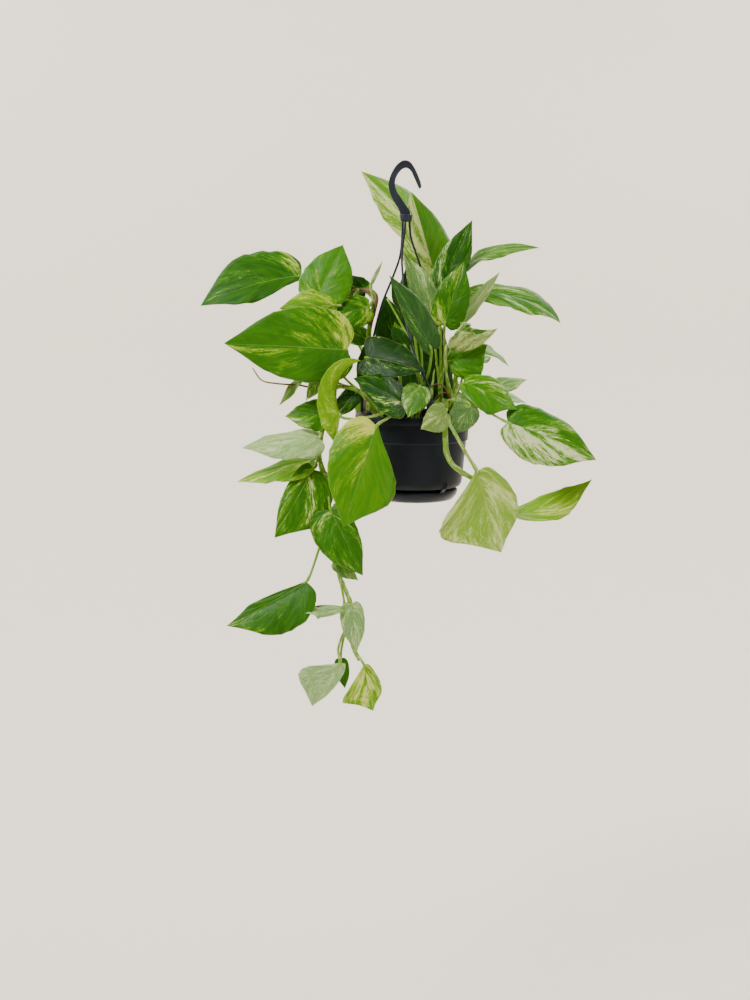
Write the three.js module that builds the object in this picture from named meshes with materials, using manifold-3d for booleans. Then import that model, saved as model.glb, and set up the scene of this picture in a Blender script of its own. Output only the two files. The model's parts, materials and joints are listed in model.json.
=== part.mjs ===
// A marble queen pothos in a hanging plastic pot with a clipped saucer.
// Millimetres, +Z up, +X to the viewer's right, +Y away from the viewer.
// The origin is the point inside the top of the hook that bears on what it hangs from.
import * as THREE from "three";
import { mergeVertices } from "three/addons/utils/BufferGeometryUtils.js";
import Module from "manifold-3d";

const wasm = await Module();
wasm.setup();

const gap = 0.3; // between pieces that touch
const rad = THREE.MathUtils.degToRad;

// Pot: a 15 cm hanging pot. Radii are from its own axis, heights from the origin.
const potAxis = [12, 0];
const potWall = 1.8;
const rimTop = -296;
const rimRadius = 75;
const rimHeight = 9;
const neckRadius = 65.5;
const neckHeight = 31;
const bodyTopRadius = 62;
const bodyFootRadius = 57;
const footRadius = 50;
const potHeight = 90;
const drainRadius = 4;
const drainRing = 30;
const drains = 5;
const roundSides = 28; // facets round the pot, the saucer and the soil

// Saucer, clipped to the foot of the pot by tabs
const saucerTop = -389.4;
const saucerRadius = 51.6;
const saucerFootRadius = 43;
const saucerHeight = 12.6;
const saucerWall = 1.6;
const tabs = 4;
const tabWidth = 6.4;
const tabTurn = 307; // degrees round the pot where the first tab stands

// Soil, with a plain hole for each stem
const soilTop = -309;
const soilDome = 3;
const soilCorner = 7;
const holeDepth = 34;
const stemSetback = 0.5; // the stem's own clearance in its hole

// Hanger: a moulded hook whose collar holds three strands that clip through the rim
const hookThick = 6;
const hookBevel = 1;
const collarTop = -55;
const collarHeight = 9;
const collarRadii = [6.6, 8];
const collarX = -1;
const strandRadius = 1.4;
const socketDepth = 4.5;
const clipTurns = { strand_back: 40, strand_left: 160, strand_front: 282 };
const clipRing = 70; // radius of the ring that the clips stand on
const clipSize = [3.6, 8, 28]; // across the rim, along it, and high
const barbSize = [3.6, 12, 3];

// Leaves and stems
const bladeThick = 0.8;
const stemRadius = 2.6;
const petioleRadius = 1.5;
const tidied = 0.25; // slivers smaller than this, left where pieces meet, are closed up

// Edge of a flat leaf from its notch round one lobe to the tip: along the midrib as a share of the
// length, and across as a share of the half width. Each has the point of the midrib its vein leaves.
const leafEdge = [
  [0, 0, 0],
  [-0.06, 0.45, 0.005],
  [0.06, 0.9, 0.04],
  [0.32, 1, 0.18],
  [0.62, 0.79, 0.45],
  [0.88, 0.25, 0.8],
  [1, 0, 1],
];
const bladeSteps = [-1, -0.55, 0, 0.55, 1]; // across a leaf
const smallSteps = [-1, 0, 1]; // and across one narrower than this, drawn with fewer rows
const smallHalf = 17;
const smallRows = [0, 2, 3, 4, 5, 6];

const leafGreen = 0x4f8a1e;

// Leafy stems. root: where the stem stands in the soil; stem: the points it runs through from there.
// Each leaf: from, the share of the stem where its stalk starts; via, points the stalk passes; at,
// where the blade joins it; tip; face, the way the upper side looks; half, the widths left and right
// of the midrib; and, where they matter, bow: how far the midrib stands off the straight line at its
// thirds; fold and curl: how far each half turns up, at the midrib and towards its edge, in degrees;
// twist, in degrees from base to tip; wave: height of the edge's waves; sweep: how far each half
// leans to the tip; late: how much narrower each half is at its base. thick is a stem's own radius and
// stalk a stalk's, where they aren't the usual ones. A shoot has no leaf.
const vines = [
  {
    name: "vine_top_back",
    root: [30, 30],
    stem: [[31, 31, -285], [33, 36, -262]],
    leaves: [
      { from: 0.96, via: [[30, 52, -170]], at: [28, 60, -84], tip: [-56, 72, 1], face: [0.3, -0.7, 0.6],
        half: [32, 36], bow: [6, 4] },
      { from: 0.7, via: [], at: [30, 40, -238], tip: [24, 44, -160], face: [0, -1, 0.1], half: [23, 22] },
      { from: 0.5, via: [], at: [43, 34, -277], tip: [30, 38, -186], face: [0, -1, 0.1], half: [19, 19] },
      { from: 0.8, via: [[40, 40, -200]], at: [38, 34, -140], tip: [6, 48, -25], face: [0.25, -1, 0.15],
        half: [34, 32], bow: [8, 4] },
    ],
  },
  {
    name: "vine_top_right",
    root: [44, 6],
    stem: [[43, 4, -285], [41, 2, -264]],
    leaves: [
      { from: 0.7, via: [[36, 2, -220]], at: [33, 4, -182], tip: [-3, 6, -102], face: [-0.15, -1, 0],
        half: [13, 20], bow: [4, 4], sweep: [0, 0.15] },
      { from: 0.95, via: [[42, 4, -200]], at: [41, 8, -152], tip: [80, 14, -61], face: [-0.1, -1, 0.1],
        half: [21, 20], bow: [4, 4] },
      { from: 0.85, via: [[46, -8, -225]], at: [46, -18, -187], tip: [69, -16, -111], face: [-0.2, -1, 0.1],
        half: [22, 22], bow: [4, 6] },
    ],
  },
  {
    name: "vine_right_high",
    root: [56, 20],
    stem: [[58, 20, -285], [62, 20, -262]],
    leaves: [
      { from: 0.95, via: [[68, 26, -180]], at: [74, 30, -119], tip: [165, 40, -94], face: [0, -0.45, 0.9],
        half: [17, 18], mid: [[90, 33, -98], [124, 37, -92]], twist: 50 },
      { from: 0.75, via: [[62, 12, -220]], at: [66, -2, -180], tip: [113, -6, -124], face: [-0.3, 0.8, 0.3],
        half: [10, 10], bow: [-4, 0] },
      { from: 0.85, via: [[72, 16, -200]], at: [80, 18, -149], tip: [188, 2, -186], face: [0, -0.6, 0.8],
        half: [22, 24], mid: [[112, 16, -143], [172, 5, -160]], sweep: [0.2, 0.25] },
    ],
  },
  {
    name: "vine_right_mid",
    root: [62, -4],
    stem: [[60, -8, -290], [56, -12, -276]],
    leaves: [
      { from: 0.98, via: [[47, -28, -240]], at: [49, -36, -212], tip: [108, -38, -191], face: [0, -0.3, 1],
        half: [38, 33], mid: [[60, -38, -226], [90, -38, -216]], fold: [60, 56], curl: [20, 10],
        sweep: [-0.25, -0.1] },
      { from: 0.85, via: [[50, -18, -262]], at: [50, -22, -232], tip: [97, -26, -211],
        face: [0.1, -0.9, 0.3], half: [14, 34], bow: [3, 3], sweep: [0, 0.25] },
      { from: 0.9, via: [[74, 4, -240]], at: [88, 12, -213], tip: [126, 6, -239], face: [0.2, -0.3, 0.9],
        half: [12, 12], bow: [6, 4] },
      { from: 0.6, via: [[80, 4, -282]], at: [100, 14, -271], tip: [152, 34, -257], face: [0, -0.5, 0.85],
        half: [16, 16], bow: [6, 4] },
      { from: 0.5, via: [[80, -6, -286]], at: [100, -6, -274], tip: [148, 4, -284], face: [0, -0.4, 0.9],
        half: [14, 14], bow: [6, 4] },
    ],
  },
  {
    name: "vine_right_low",
    root: [58, -26],
    stem: [[55, -33, -292], [51, -42, -277]],
    leaves: [
      { from: 0.9, via: [[60, -46, -268]], at: [68, -50, -256], tip: [131, -58, -287],
        face: [0, -0.75, 0.65], half: [23, 28], bow: [8, 8], sweep: [0.1, 0.35] },
      { from: 0.99, via: [[62, -56, -275], [88, -62, -285]], at: [120, -64, -302], tip: [224, -78, -345],
        face: [0, -0.85, 0.5], half: [32, 38], bow: [10, 8], sweep: [0, 0.15] },
      { from: 0.85, via: [[56, -66, -276]], at: [74, -70, -281], tip: [54, -75, -315], face: [0.2, -1, 0.3],
        half: [17, 17] },
      { from: 0.93, via: [], at: [60, -57, -281], tip: [77, -53, -264], face: [0, -1, 0.2], half: [8, 8] },
    ],
  },
  {
    name: "vine_right_trail",
    root: [36, -40],
    stem: [[36, -50, -288], [38, -64, -284], [42, -80, -291], [44, -84, -308], [46, -83, -336],
      [53, -82, -350], [64, -80, -359], [80, -77, -369], [106, -73, -389]],
    thick: 3.4,
    leaves: [
      { from: 0.36, stalk: 2.2, via: [[54, -93, -310], [70, -93, -338]], at: [82, -90, -358],
        tip: [111, -98, -453], face: [-0.1, 0.9, 0.35], half: [78, 36], bow: [6, 10],
        sweep: [0.33, 0.25], late: [0.9, 0] },
      { from: 1, via: [[120, -70, -400]], at: [131, -66, -412], tip: [224, -48, -372],
        face: [-0.2, -0.7, 0.7], half: [19, 22], bow: [-18, -18], sweep: [0.3, 0.3] },
      { from: 0.33, via: [], at: [44, -94, -286], tip: [15, -103, -306], face: [0, 0.9, 0.4],
        half: [17, 19] },
    ],
  },
  {
    name: "vine_left_high",
    root: [-32, 2],
    stem: [[-38, 4, -270], [-46, 8, -198], [-38, 14, -152], [-52, 22, -146], [-76, 26, -150],
      [-96, 28, -150]],
    thick: 3.3,
    leaves: [
      { from: 1, via: [[-116, 28, -138]], at: [-130, 26, -129], tip: [-252, 4, -165], face: [0.1, -0.7, 0.7],
        half: [32, 56], bow: [14, 12], sweep: [0.15, 0.08], late: [0.7, 0] },
      { from: 0.95, via: [[-104, 10, -162]], at: [-110, -4, -157], tip: [-78, 22, -91],
        face: [-0.1, -0.9, 0.3], half: [30, 34], bow: [4, 6] },
      { from: 0.85, via: [[-76, 2, -164]], at: [-86, -14, -164], tip: [-154, -22, -168],
        face: [0, -0.8, 0.6], half: [20, 27], fold: [-60, 0], bow: [6, 4] },
      { from: 0.66, via: [[-42, 8, -160]], at: [-47, -2, -166], tip: [-112, -12, -186], face: [0, -0.9, 0.4],
        half: [22, 20], bow: [4, 4] },
      { from: 0.72, via: [], at: [-50, 30, -148], tip: [-92, 44, -128], face: [0, -0.8, 0.5],
        half: [16, 16] },
      { from: 0.7, via: [], at: [-43, 14, -138], tip: [-29, 12, -110], face: [0, -1, 0], half: [2.5, 2.5] },
      { from: 0.5, via: [], at: [-50, 14, -206], tip: [-86, 16, -184], face: [0, -0.9, 0.3],
        half: [13, 13] },
    ],
  },
  {
    name: "vine_centre",
    root: [14, 2],
    shoots: [{ from: 0.95, stalk: 2.3, via: [[6, -10, -214], [-8, -6, -184], [-24, 0, -156]] }],
    stem: [[16, -3, -285], [20, -10, -262]],
    leaves: [
      { from: 0.95, via: [[27, -32, -240]], at: [28, -46, -214], tip: [-22, -54, -128],
        face: [0.3, -0.9, 0.35], half: [13, 21], bow: [6, 4] },
      { from: 0.62, via: [], at: [8, 22, -286], tip: [2, 26, -226], face: [0, -1, 0.1], half: [16, 16] },
      { from: 0.9, via: [[18, -5, -220]], at: [10, 14, -172], tip: [0, 16, -117], face: [0, -1, 0],
        half: [16, 16] },
      { from: 0.85, via: [[12, -12, -220]], at: [6, -8, -179], tip: [-19, -8, -134], face: [-0.6, -0.8, 0.1],
        half: [14, 12] },
      { from: 0.95, via: [[8, -16, -236]], at: [-5, -18, -212], tip: [-15, -18, -184], face: [0, -1, 0.1],
        half: [9, 8] },
    ],
  },
  {
    name: "vine_front_centre",
    root: [4, -24],
    stem: [[0, -33, -288], [-8, -42, -271]],
    leaves: [
      { from: 0.98, via: [[-36, -54, -246]], at: [-49, -60, -225], tip: [20, -86, -240],
        face: [0, -0.85, 0.5], half: [31, 24], bow: [8, 6], sweep: [-0.3, -0.1] },
      { from: 0.9, via: [[-34, -46, -262]], at: [-40, -46, -250], tip: [-14, -54, -222], face: [0, -1, 0.2],
        half: [12, 12] },
      { from: 0.75, via: [[-6, -62, -278]], at: [-4, -80, -280], tip: [-64, -96, -247],
        face: [0, -0.75, 0.66], half: [26, 26], bow: [8, 6] },
      { from: 0.65, via: [[8, -60, -276]], at: [14, -80, -258], tip: [0, -94, -293], face: [0, -1, 0.3],
        half: [17, 17] },
      { from: 0.95, via: [[-8, -44, -240]], at: [-2, -46, -213], tip: [-19, -48, -187],
        face: [-0.2, -1, 0.2], half: [9, 9] },
    ],
  },
  {
    name: "vine_front_left",
    root: [-14, -42],
    stem: [[-13, -54, -290], [-11, -68, -284], [-12, -79, -287]],
    leaves: [
      { from: 1, via: [[-26, -86, -296]], at: [-37, -88, -304], tip: [-76, -104, -422], face: [0, -1, 0.12],
        half: [58, 43], bow: [6, 10], sweep: [0.25, 0.05], late: [0.9, 0] },
      { from: 0.9, via: [[-46, -80, -294], [-66, -70, -297]], at: [-79, -66, -294], tip: [-55, -74, -228],
        face: [0.2, -1, 0.2],
        half: [25, 13], mid: [[-92, -64, -272], [-84, -66, -230]], fold: [12, -70], sweep: [-0.5, 0] },
    ],
  },
  {
    name: "vine_left_trail",
    root: [-38, -24],
    shoots: [
      { from: 0.22,
        via: [[-118, -16, -263], [-130, -12, -261], [-157, -12, -259], [-177, -10, -255], [-188, -10, -240]] },
      { from: 0.2, via: [[-118, -20, -262], [-122, -16, -279]] },
    ],
    stem: [[-46, -29, -280], [-60, -31, -266], [-84, -29, -262], [-100, -31, -280], [-102, -34, -310],
      [-106, -34, -345], [-102, -34, -370], [-96, -36, -390], [-93, -38, -425], [-90, -39, -470],
      [-80, -40, -497], [-70, -42, -525], [-70, -43, -560], [-64, -45, -585], [-58, -46, -597]],
    leaves: [
      { from: 0.18, via: [[-79, -30, -244]], at: [-73, -38, -217], tip: [-218, -58, -208],
        face: [0, -0.97, 0.2], half: [42, 50], bow: [8, 4] },
      { from: 0.12, via: [], at: [-60, -22, -268], tip: [-91, -26, -300], face: [-0.2, -1, 0.2],
        half: [12, 14] },
      { from: 0.24, via: [], at: [-104, -26, -251], tip: [-120, -28, -277], face: [0, -1, 0.2],
        half: [8, 10] },
      { from: 0.2, via: [[-110, -14, -250]], at: [-130, -12, -254], tip: [-156, -14, -286],
        face: [0.7, 0.2, 0.7], half: [7, 6] },
      { from: 0.3, via: [], at: [-94, -26, -297], tip: [-148, -24, -298], face: [0, -0.8, 0.6],
        half: [22, 22], bow: [6, 4] },
      { from: 0.36, via: [], at: [-107, -38, -323], tip: [-199, -50, -334], face: [0, -0.55, 0.83],
        half: [36, 18], bow: [6, 4] },
      { from: 0.42, via: [], at: [-114, -28, -351], tip: [-208, -20, -379], face: [0.1, -0.4, 0.9],
        half: [34, 14], bow: [6, 4] },
      { from: 0.42, via: [[-110, -40, -354]], at: [-114, -46, -361], tip: [-160, -60, -442],
        face: [0.1, -0.9, 0.2], half: [42, 18], bow: [4, 4], sweep: [0.2, 0] },
      { from: 0.45, via: [], at: [-94, -30, -381], tip: [-106, -28, -425], face: [0, -1, 0], half: [9, 9] },
      { from: 0.5, via: [[-94, -52, -398]], at: [-92, -60, -408], tip: [-53, -72, -486], face: [0, -1, 0.1],
        half: [20, 34], bow: [6, 8] },
      { from: 0.64, via: [], at: [-87, -44, -475], tip: [-59, -50, -496], face: [0, -0.8, 0.6],
        half: [10, 10] },
      { from: 0.58, via: [[-108, -40, -462]], at: [-123, -50, -498], tip: [-219, -62, -550],
        face: [0.1, -0.85, 0.5], half: [44, 12], bow: [-2, -4], sweep: [0.1, 0.4], late: [0, 0.8] },
      { from: 0.76, via: [], at: [-78, -50, -531], tip: [-123, -68, -533], face: [0, -0.5, 0.85],
        half: [12, 12], sweep: [0.6, 0.6] },
      { from: 0.78, via: [], at: [-67, -50, -526], tip: [-61, -58, -584], face: [0, -1, 0.1],
        half: [14, 16] },
      { from: 0.88, via: [[-84, -42, -585]], at: [-82, -44, -602], tip: [-116, -54, -653],
        face: [0, -1, 0.1], half: [11, 47], sweep: [0, 0.22], late: [0, 0.9] },
      { from: 0.86, via: [[-80, -36, -585]], at: [-81, -34, -599], tip: [-76, -30, -637], face: [0, -1, 0.1],
        half: [9, 9] },
      { from: 0.97, via: [], at: [-52, -52, -602], tip: [-41, -60, -657], face: [0, -1, 0.15],
        half: [16, 38], sweep: [0.35, 0.55], late: [0, 0.85] },
    ],
  },
  {
    name: "vine_back_left",
    root: [-22, 34],
    stem: [[-26, 44, -288], [-34, 54, -270]],
    leaves: [
      { from: 0.98, via: [[-50, 66, -235]], at: [-62, 76, -212], tip: [-150, 120, -196], face: [0, 0.4, 0.9],
        half: [36, 34], bow: [14, 10] },
      { from: 0.85, via: [], at: [-38, 38, -270], tip: [-50, 38, -208], face: [0, -1, 0.1], half: [20, 22] },
      { from: 0.5, via: [], at: [-22, 26, -284], tip: [-27, 27, -222], face: [0, -1, 0.1], half: [16, 16] },
      { from: 0.9, via: [[-30, 68, -262]], at: [-34, 84, -266], tip: [-36, 124, -356],
        face: [-0.3, 0.8, 0.5], half: [30, 32], bow: [12, 10] },
    ],
  },
  {
    name: "vine_back",
    root: [8, 44],
    stem: [[8, 56, -286], [6, 70, -282], [4, 84, -290]],
    leaves: [
      { from: 0.5, via: [[2, 50, -262]], at: [-8, 44, -232], tip: [-26, 48, -152], face: [0, -1, 0.1],
        half: [24, 24] },
      { from: 0.75, via: [[12, 82, -264]], at: [19, 98, -244], tip: [30, 186, -240], face: [0, 0.3, 0.95],
        half: [34, 36], bow: [16, 12] },
      { from: 1, via: [[4, 94, -310]], at: [6, 98, -326], tip: [2, 124, -392], face: [0.1, 1, 0.3],
        half: [28, 30], bow: [8, 8] },
    ],
  },
  {
    name: "vine_back_right",
    root: [38, 44],
    stem: [[44, 52, -288], [50, 60, -272]],
    leaves: [
      { from: 0.98, via: [[62, 70, -245]], at: [68, 80, -232], tip: [100, 152, -236], face: [0.4, 0.3, 0.85],
        half: [32, 32], bow: [14, 10] },
      { from: 0.9, via: [[54, 80, -268]], at: [54, 94, -276], tip: [52, 132, -362], face: [0.4, 0.8, 0.5],
        half: [28, 28], bow: [10, 10] },
    ],
  },
];

// A mesh's triangles as a manifold-3d solid
function solid(geometry) {
  geometry.deleteAttribute("normal");
  geometry.deleteAttribute("uv");
  const merged = mergeVertices(geometry, 1e-4);
  const index = [];
  for (let i = 0; i < merged.index.count; i += 3) {
    const [a, b, c] = [0, 1, 2].map((k) => merged.index.getX(i + k));
    if (a !== b && b !== c && c !== a) index.push(a, b, c);
  }
  return new wasm.Manifold(
    new wasm.Mesh({
      numProp: 3,
      vertProperties: merged.attributes.position.array,
      triVerts: new Uint32Array(index),
    }),
  );
}

function geometryOf(made) {
  const { vertProperties, triVerts } = made.getMesh();
  const geometry = new THREE.BufferGeometry();
  geometry.setAttribute("position", new THREE.BufferAttribute(vertProperties, 3));
  geometry.setIndex(new THREE.BufferAttribute(triVerts, 1));
  return geometry;
}

const vector = (p) => new THREE.Vector3(...p);

// A round bar along a smooth line through points
function bar(points, radius, sides, step) {
  const path = new THREE.CatmullRomCurve3(points.map(vector), false, "centripetal");
  const ring = new THREE.Shape();
  for (let i = 0; i < sides; i++) {
    const a = (2 * Math.PI * i) / sides;
    const put = i ? "lineTo" : "moveTo";
    ring[put](radius * Math.cos(a), radius * Math.sin(a));
  }
  ring.closePath();
  const steps = Math.max(2, Math.round(path.getLength() / step));
  return { path, made: solid(new THREE.ExtrudeGeometry(ring, { steps, extrudePath: path })) };
}

// The place on a leaf's middle layer at share u along and v across, v from -1 to 1
function leafPoint(leaf, u, v) {
  const [base, tip] = [vector(leaf.at), vector(leaf.tip)];
  const side = v < 0 ? 0 : 1;
  const w = Math.abs(v);
  const chord = tip.clone().sub(base);
  const up = vector(leaf.face).projectOnPlane(chord.clone().normalize()).normalize();
  const [b1, b2] = leaf.bow ?? [0, 0];
  const inner = leaf.mid
    ? leaf.mid.map(vector)
    : [base.clone().addScaledVector(chord, 1 / 3).addScaledVector(up, b1),
      base.clone().addScaledVector(chord, 2 / 3).addScaledVector(up, b2)];
  const midrib = new THREE.CubicBezierCurve3(base, inner[0], inner[1], tip);
  const along = u + (leaf.sweep?.[side] ?? 0) * w * w * (1 - u);
  const held = THREE.MathUtils.clamp(along, 0, 1);
  const ahead = midrib.getTangent(held);
  const place = midrib.getPoint(held).addScaledVector(ahead, (along - held) * chord.length());
  const normal = vector(leaf.face).projectOnPlane(ahead).normalize();
  normal.applyAxisAngle(ahead, rad((leaf.twist ?? 0) * (held - 0.5)));
  const across = ahead.clone().cross(normal);
  const turn = rad((leaf.fold?.[side] ?? 6) + (leaf.curl?.[side] ?? -10) * w);
  const late = (leaf.late?.[side] ?? 0) * (1 - held) ** 2;
  const reach = leaf.half[side] * w * (1 - late);
  const wave = (leaf.wave ?? 2) * w * w * Math.sin(2 * Math.PI * (1.6 * u + 0.3 * side) + leaf.half[0]);
  return place
    .addScaledVector(across, Math.sign(v) * reach * Math.cos(turn))
    .addScaledVector(normal, reach * Math.sin(turn) + wave);
}

// One thin blade: rows follow the side veins, and both faces are split into the same triangles
function blade(leaf) {
  const small = Math.max(...leaf.half) < smallHalf;
  const steps = small ? smallSteps : bladeSteps;
  const outline = leafEdge.filter((_, r) => !small || smallRows.includes(r));
  const rows = outline.map(([edge, wide, root]) =>
    steps.map((c) => {
      const w = Math.abs(c);
      return leafPoint(leaf, root + (edge - root) * w, c * wide);
    }),
  );
  const last = outline.length - 1;
  const ids = rows.map((row, r) => row.map((_, c) => (r === 0 || r === last ? 0 : c)));
  const middle = [];
  const number = new Map();
  const idOf = (r, c) => {
    const key = r + "," + ids[r][c];
    if (!number.has(key)) {
      number.set(key, middle.length);
      middle.push(rows[r][ids[r][c]]);
    }
    return number.get(key);
  };
  const faces = [];
  const put = (a, b, c) => a !== b && b !== c && c !== a && faces.push([a, b, c]);
  for (let r = 0; r < last; r++)
    for (let c = 0; c + 1 < steps.length; c++) {
      const [p, q, s, t] = [idOf(r, c), idOf(r, c + 1), idOf(r + 1, c + 1), idOf(r + 1, c)];
      if (steps[c] < 0) {
        put(p, q, s);
        put(p, s, t);
      } else {
        put(p, q, t);
        put(q, s, t);
      }
    }
  const normals = middle.map(() => new THREE.Vector3());
  for (const [a, b, c] of faces) {
    const n = middle[b].clone().sub(middle[a]).cross(middle[c].clone().sub(middle[a]));
    for (const i of [a, b, c]) normals[i].add(n);
  }
  const count = middle.length;
  const points = [1, -1].flatMap((face) =>
    middle.map((p, i) => p.clone().addScaledVector(normals[i].normalize(), (face * bladeThick) / 2)),
  );
  const index = faces.flatMap(([a, b, c]) => [a, b, c, c + count, b + count, a + count]);
  const edges = new Map();
  for (const [a, b, c] of faces)
    for (const [i, j] of [[a, b], [b, c], [c, a]]) {
      if (edges.has(j + "," + i)) edges.delete(j + "," + i);
      else edges.set(i + "," + j, [i, j]);
    }
  for (const [i, j] of edges.values()) index.push(i, i + count, j, j, i + count, j + count);
  const geometry = new THREE.BufferGeometry().setFromPoints(points);
  geometry.setIndex(index);
  const made = solid(geometry);
  if (made.volume() > 0) return made;
  geometry.setIndex([...index].reverse());
  return solid(geometry);
}

// A stem with its stalks and blades in one solid
function vine({ root, stem, leaves, shoots = [], thick = stemRadius }) {
  const upright = [soilTop - holeDepth + gap, soilTop - 0.5 * holeDepth, soilTop + 3, soilTop + 9];
  const main = bar([...upright.map((z) => [...root, z]), ...stem], thick, 6, 18);
  let made = main.made;
  for (const leaf of leaves) {
    const start = main.path.getPointAt(leaf.from);
    const base = vector(leaf.at);
    const ahead = leafPoint(leaf, 0.03, 0).sub(base);
    const end = base.clone().add(ahead.clone().setLength(2.5));
    const under = leafPoint(leaf, 0.02, 0.1).sub(base)
      .cross(leafPoint(leaf, 0.02, -0.1).sub(base)).normalize();
    const side = under.dot(vector(leaf.face)) > 0 ? -1 : 1;
    end.addScaledVector(under, side * 0.7);
    const stalk = [start.toArray(), ...leaf.via, end.toArray()];
    made = made.add(bar(stalk, leaf.stalk ?? petioleRadius, 4, 32).made).add(blade(leaf));
  }
  for (const { from, via, stalk = petioleRadius } of shoots)
    made = made.add(bar([main.path.getPointAt(from).toArray(), ...via], stalk, 4, 32).made);
  return made.simplify(tidied);
}

// A solid turned round the pot's axis from a closed outline of radius and height
function turned(outline) {
  const points = outline.map(([r, z]) => new THREE.Vector2(r, z));
  const closed = outline[0][0] === 0 ? points : [...points, points[0].clone()];
  const geometry = new THREE.LatheGeometry(closed, roundSides).rotateX(Math.PI / 2);
  return solid(geometry.translate(...potAxis, 0));
}

// A flat outline of radius and height given a width along the rim, at an angle round the pot
function standing(outline, width, turn) {
  const shape = new THREE.Shape(outline.map(([r, z]) => new THREE.Vector2(r, z)));
  const geometry = new THREE.ExtrudeGeometry(shape, { depth: width, bevelEnabled: false });
  geometry.translate(0, 0, -width / 2).rotateX(Math.PI / 2).rotateZ(rad(turn));
  return solid(geometry.translate(...potAxis, 0));
}

// An upright round peg for cutting holes
function peg(radius, low, high, x, y, sides = 12) {
  const geometry = new THREE.CylinderGeometry(radius, radius, high - low, sides).rotateX(Math.PI / 2);
  return solid(geometry.translate(x, y, (low + high) / 2));
}

const block = ([dr, dt, dz], low, turn, grow = 0) =>
  standing(
    [[-1, 0], [1, 0], [1, 1], [-1, 1]].map(([a, b]) => [clipRing + a * (dr / 2 + grow), low + b * dz]),
    dt + 2 * grow,
    turn,
  );

const ring = (count, start = 0) => Array.from({ length: count }, (_, i) => start + (360 * i) / count);
const floorTop = rimTop - potHeight + potWall;
const ledge = rimTop - neckHeight;

// Pot: a thin tapering wall with a hollow rim, a neck that ends in a small ledge, and a rounded foot
function pot() {
  const bottom = rimTop - potHeight;
  let made = turned([
    [0, bottom],
    [footRadius, bottom],
    [bodyFootRadius - 3, bottom + 1.5],
    [bodyFootRadius, bottom + 7],
    [bodyFootRadius + 0.8, bottom + 14],
    [bodyTopRadius, ledge - 2],
    [neckRadius - 1.2, ledge - 0.5],
    [neckRadius - 1.8, ledge + 1.5],
    [neckRadius + 0.6, rimTop - potWall],
    [rimRadius - potWall, rimTop - potWall],
    [rimRadius - potWall - 0.4, rimTop - rimHeight],
    [rimRadius - 0.4, rimTop - rimHeight],
    [rimRadius, rimTop - 1],
    [rimRadius - 1, rimTop],
    [neckRadius - 0.6, rimTop],
    [neckRadius - 1.6, rimTop - 1.2],
    [neckRadius - 3.6, ledge + 1],
    [bodyTopRadius - potWall, ledge - 2.6],
    [bodyFootRadius - 1.2, bottom + 13],
    [bodyFootRadius - 1.8, bottom + 6],
    [bodyFootRadius - 4, floorTop],
    [0, floorTop],
  ]);
  for (const turn of ring(drains, 90)) {
    const x = potAxis[0] + drainRing * Math.cos(rad(turn));
    const y = potAxis[1] + drainRing * Math.sin(rad(turn));
    made = made.subtract(peg(drainRadius, bottom - 1, floorTop + 1, x, y, 10));
  }
  for (const turn of Object.values(clipTurns)) {
    const slot = [clipSize[0], clipSize[1], 4];
    made = made.subtract(block(slot, rimTop - 3, turn, gap));
  }
  for (const turn of ring(tabs, tabTurn)) {
    const notch = [[52.6, bottom - 4], [60, bottom - 4], [60, bottom + 8.4], [52.6, bottom + 8.4]];
    made = made.subtract(standing(notch, tabWidth + 2 * gap, turn));
  }
  return made;
}

// Saucer: a shallow dish whose four tabs stand in the notches of the pot's foot and hook over its floor
function saucer() {
  const bottom = saucerTop - saucerHeight;
  let made = turned([
    [0, bottom],
    [saucerFootRadius, bottom],
    [saucerFootRadius + 2, bottom + 0.6],
    [saucerRadius - 3, bottom + 4],
    [saucerRadius, saucerTop - 2.4],
    [saucerRadius, saucerTop],
    [saucerRadius - saucerWall, saucerTop],
    [saucerRadius - saucerWall - 0.2, saucerTop - 2],
    [saucerRadius - 4.6, bottom + 4.6],
    [saucerFootRadius, bottom + saucerWall],
    [0, bottom + saucerWall],
  ]);
  const tab = [
    [50, saucerTop - 1.6],
    [51.6, saucerTop - 1.6],
    [51.6, saucerTop],
    [56, floorTop - 0.4],
    [56, floorTop + 6],
    [54, floorTop + 6],
    [51.5, floorTop + 2.3],
    [50.5, floorTop + gap],
    [53, floorTop + gap],
    [53, floorTop - 2.4],
    [50, saucerTop + 0.2],
  ];
  for (const turn of ring(tabs, tabTurn)) made = made.add(standing(tab, tabWidth, turn));
  return made;
}

function soil() {
  let made = turned([
    [0, floorTop + gap],
    [bodyFootRadius - 2.1 - soilCorner, floorTop + gap],
    [bodyFootRadius - 2.1, floorTop + gap + soilCorner],
    [bodyTopRadius - potWall - 0.6, ledge - 3],
    [neckRadius - 4.1, ledge + 1.4],
    [neckRadius - 3.1, soilTop],
    [0.6 * neckRadius, soilTop + 0.7 * soilDome],
    [0, soilTop + soilDome],
  ]);
  for (const { root, thick = stemRadius } of vines)
    made = made.subtract(peg(thick + stemSetback, soilTop - holeDepth, soilTop + 8, ...root, 8));
  return made;
}

// Hook: one flat moulding, drawn round its outer edge from the collar to its tip and back inside
const hookOutline = [
  [-10, -49], [-15, -41], [-20, -31], [-22.4, -21], [-21, -12], [-17, -3], [-11, 5], [-4, 9], [3, 7.6],
  [8.5, 1], [13, -8], [17, -19], [17.2, -23], [15, -24.6], [12.6, -20], [8, -10], [4.4, -3], [0, 0],
  [-5, -1], [-10, -6], [-13.6, -13], [-14.4, -20], [-12, -28], [-7, -35.6], [-2, -43], [3, -50],
];

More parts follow.
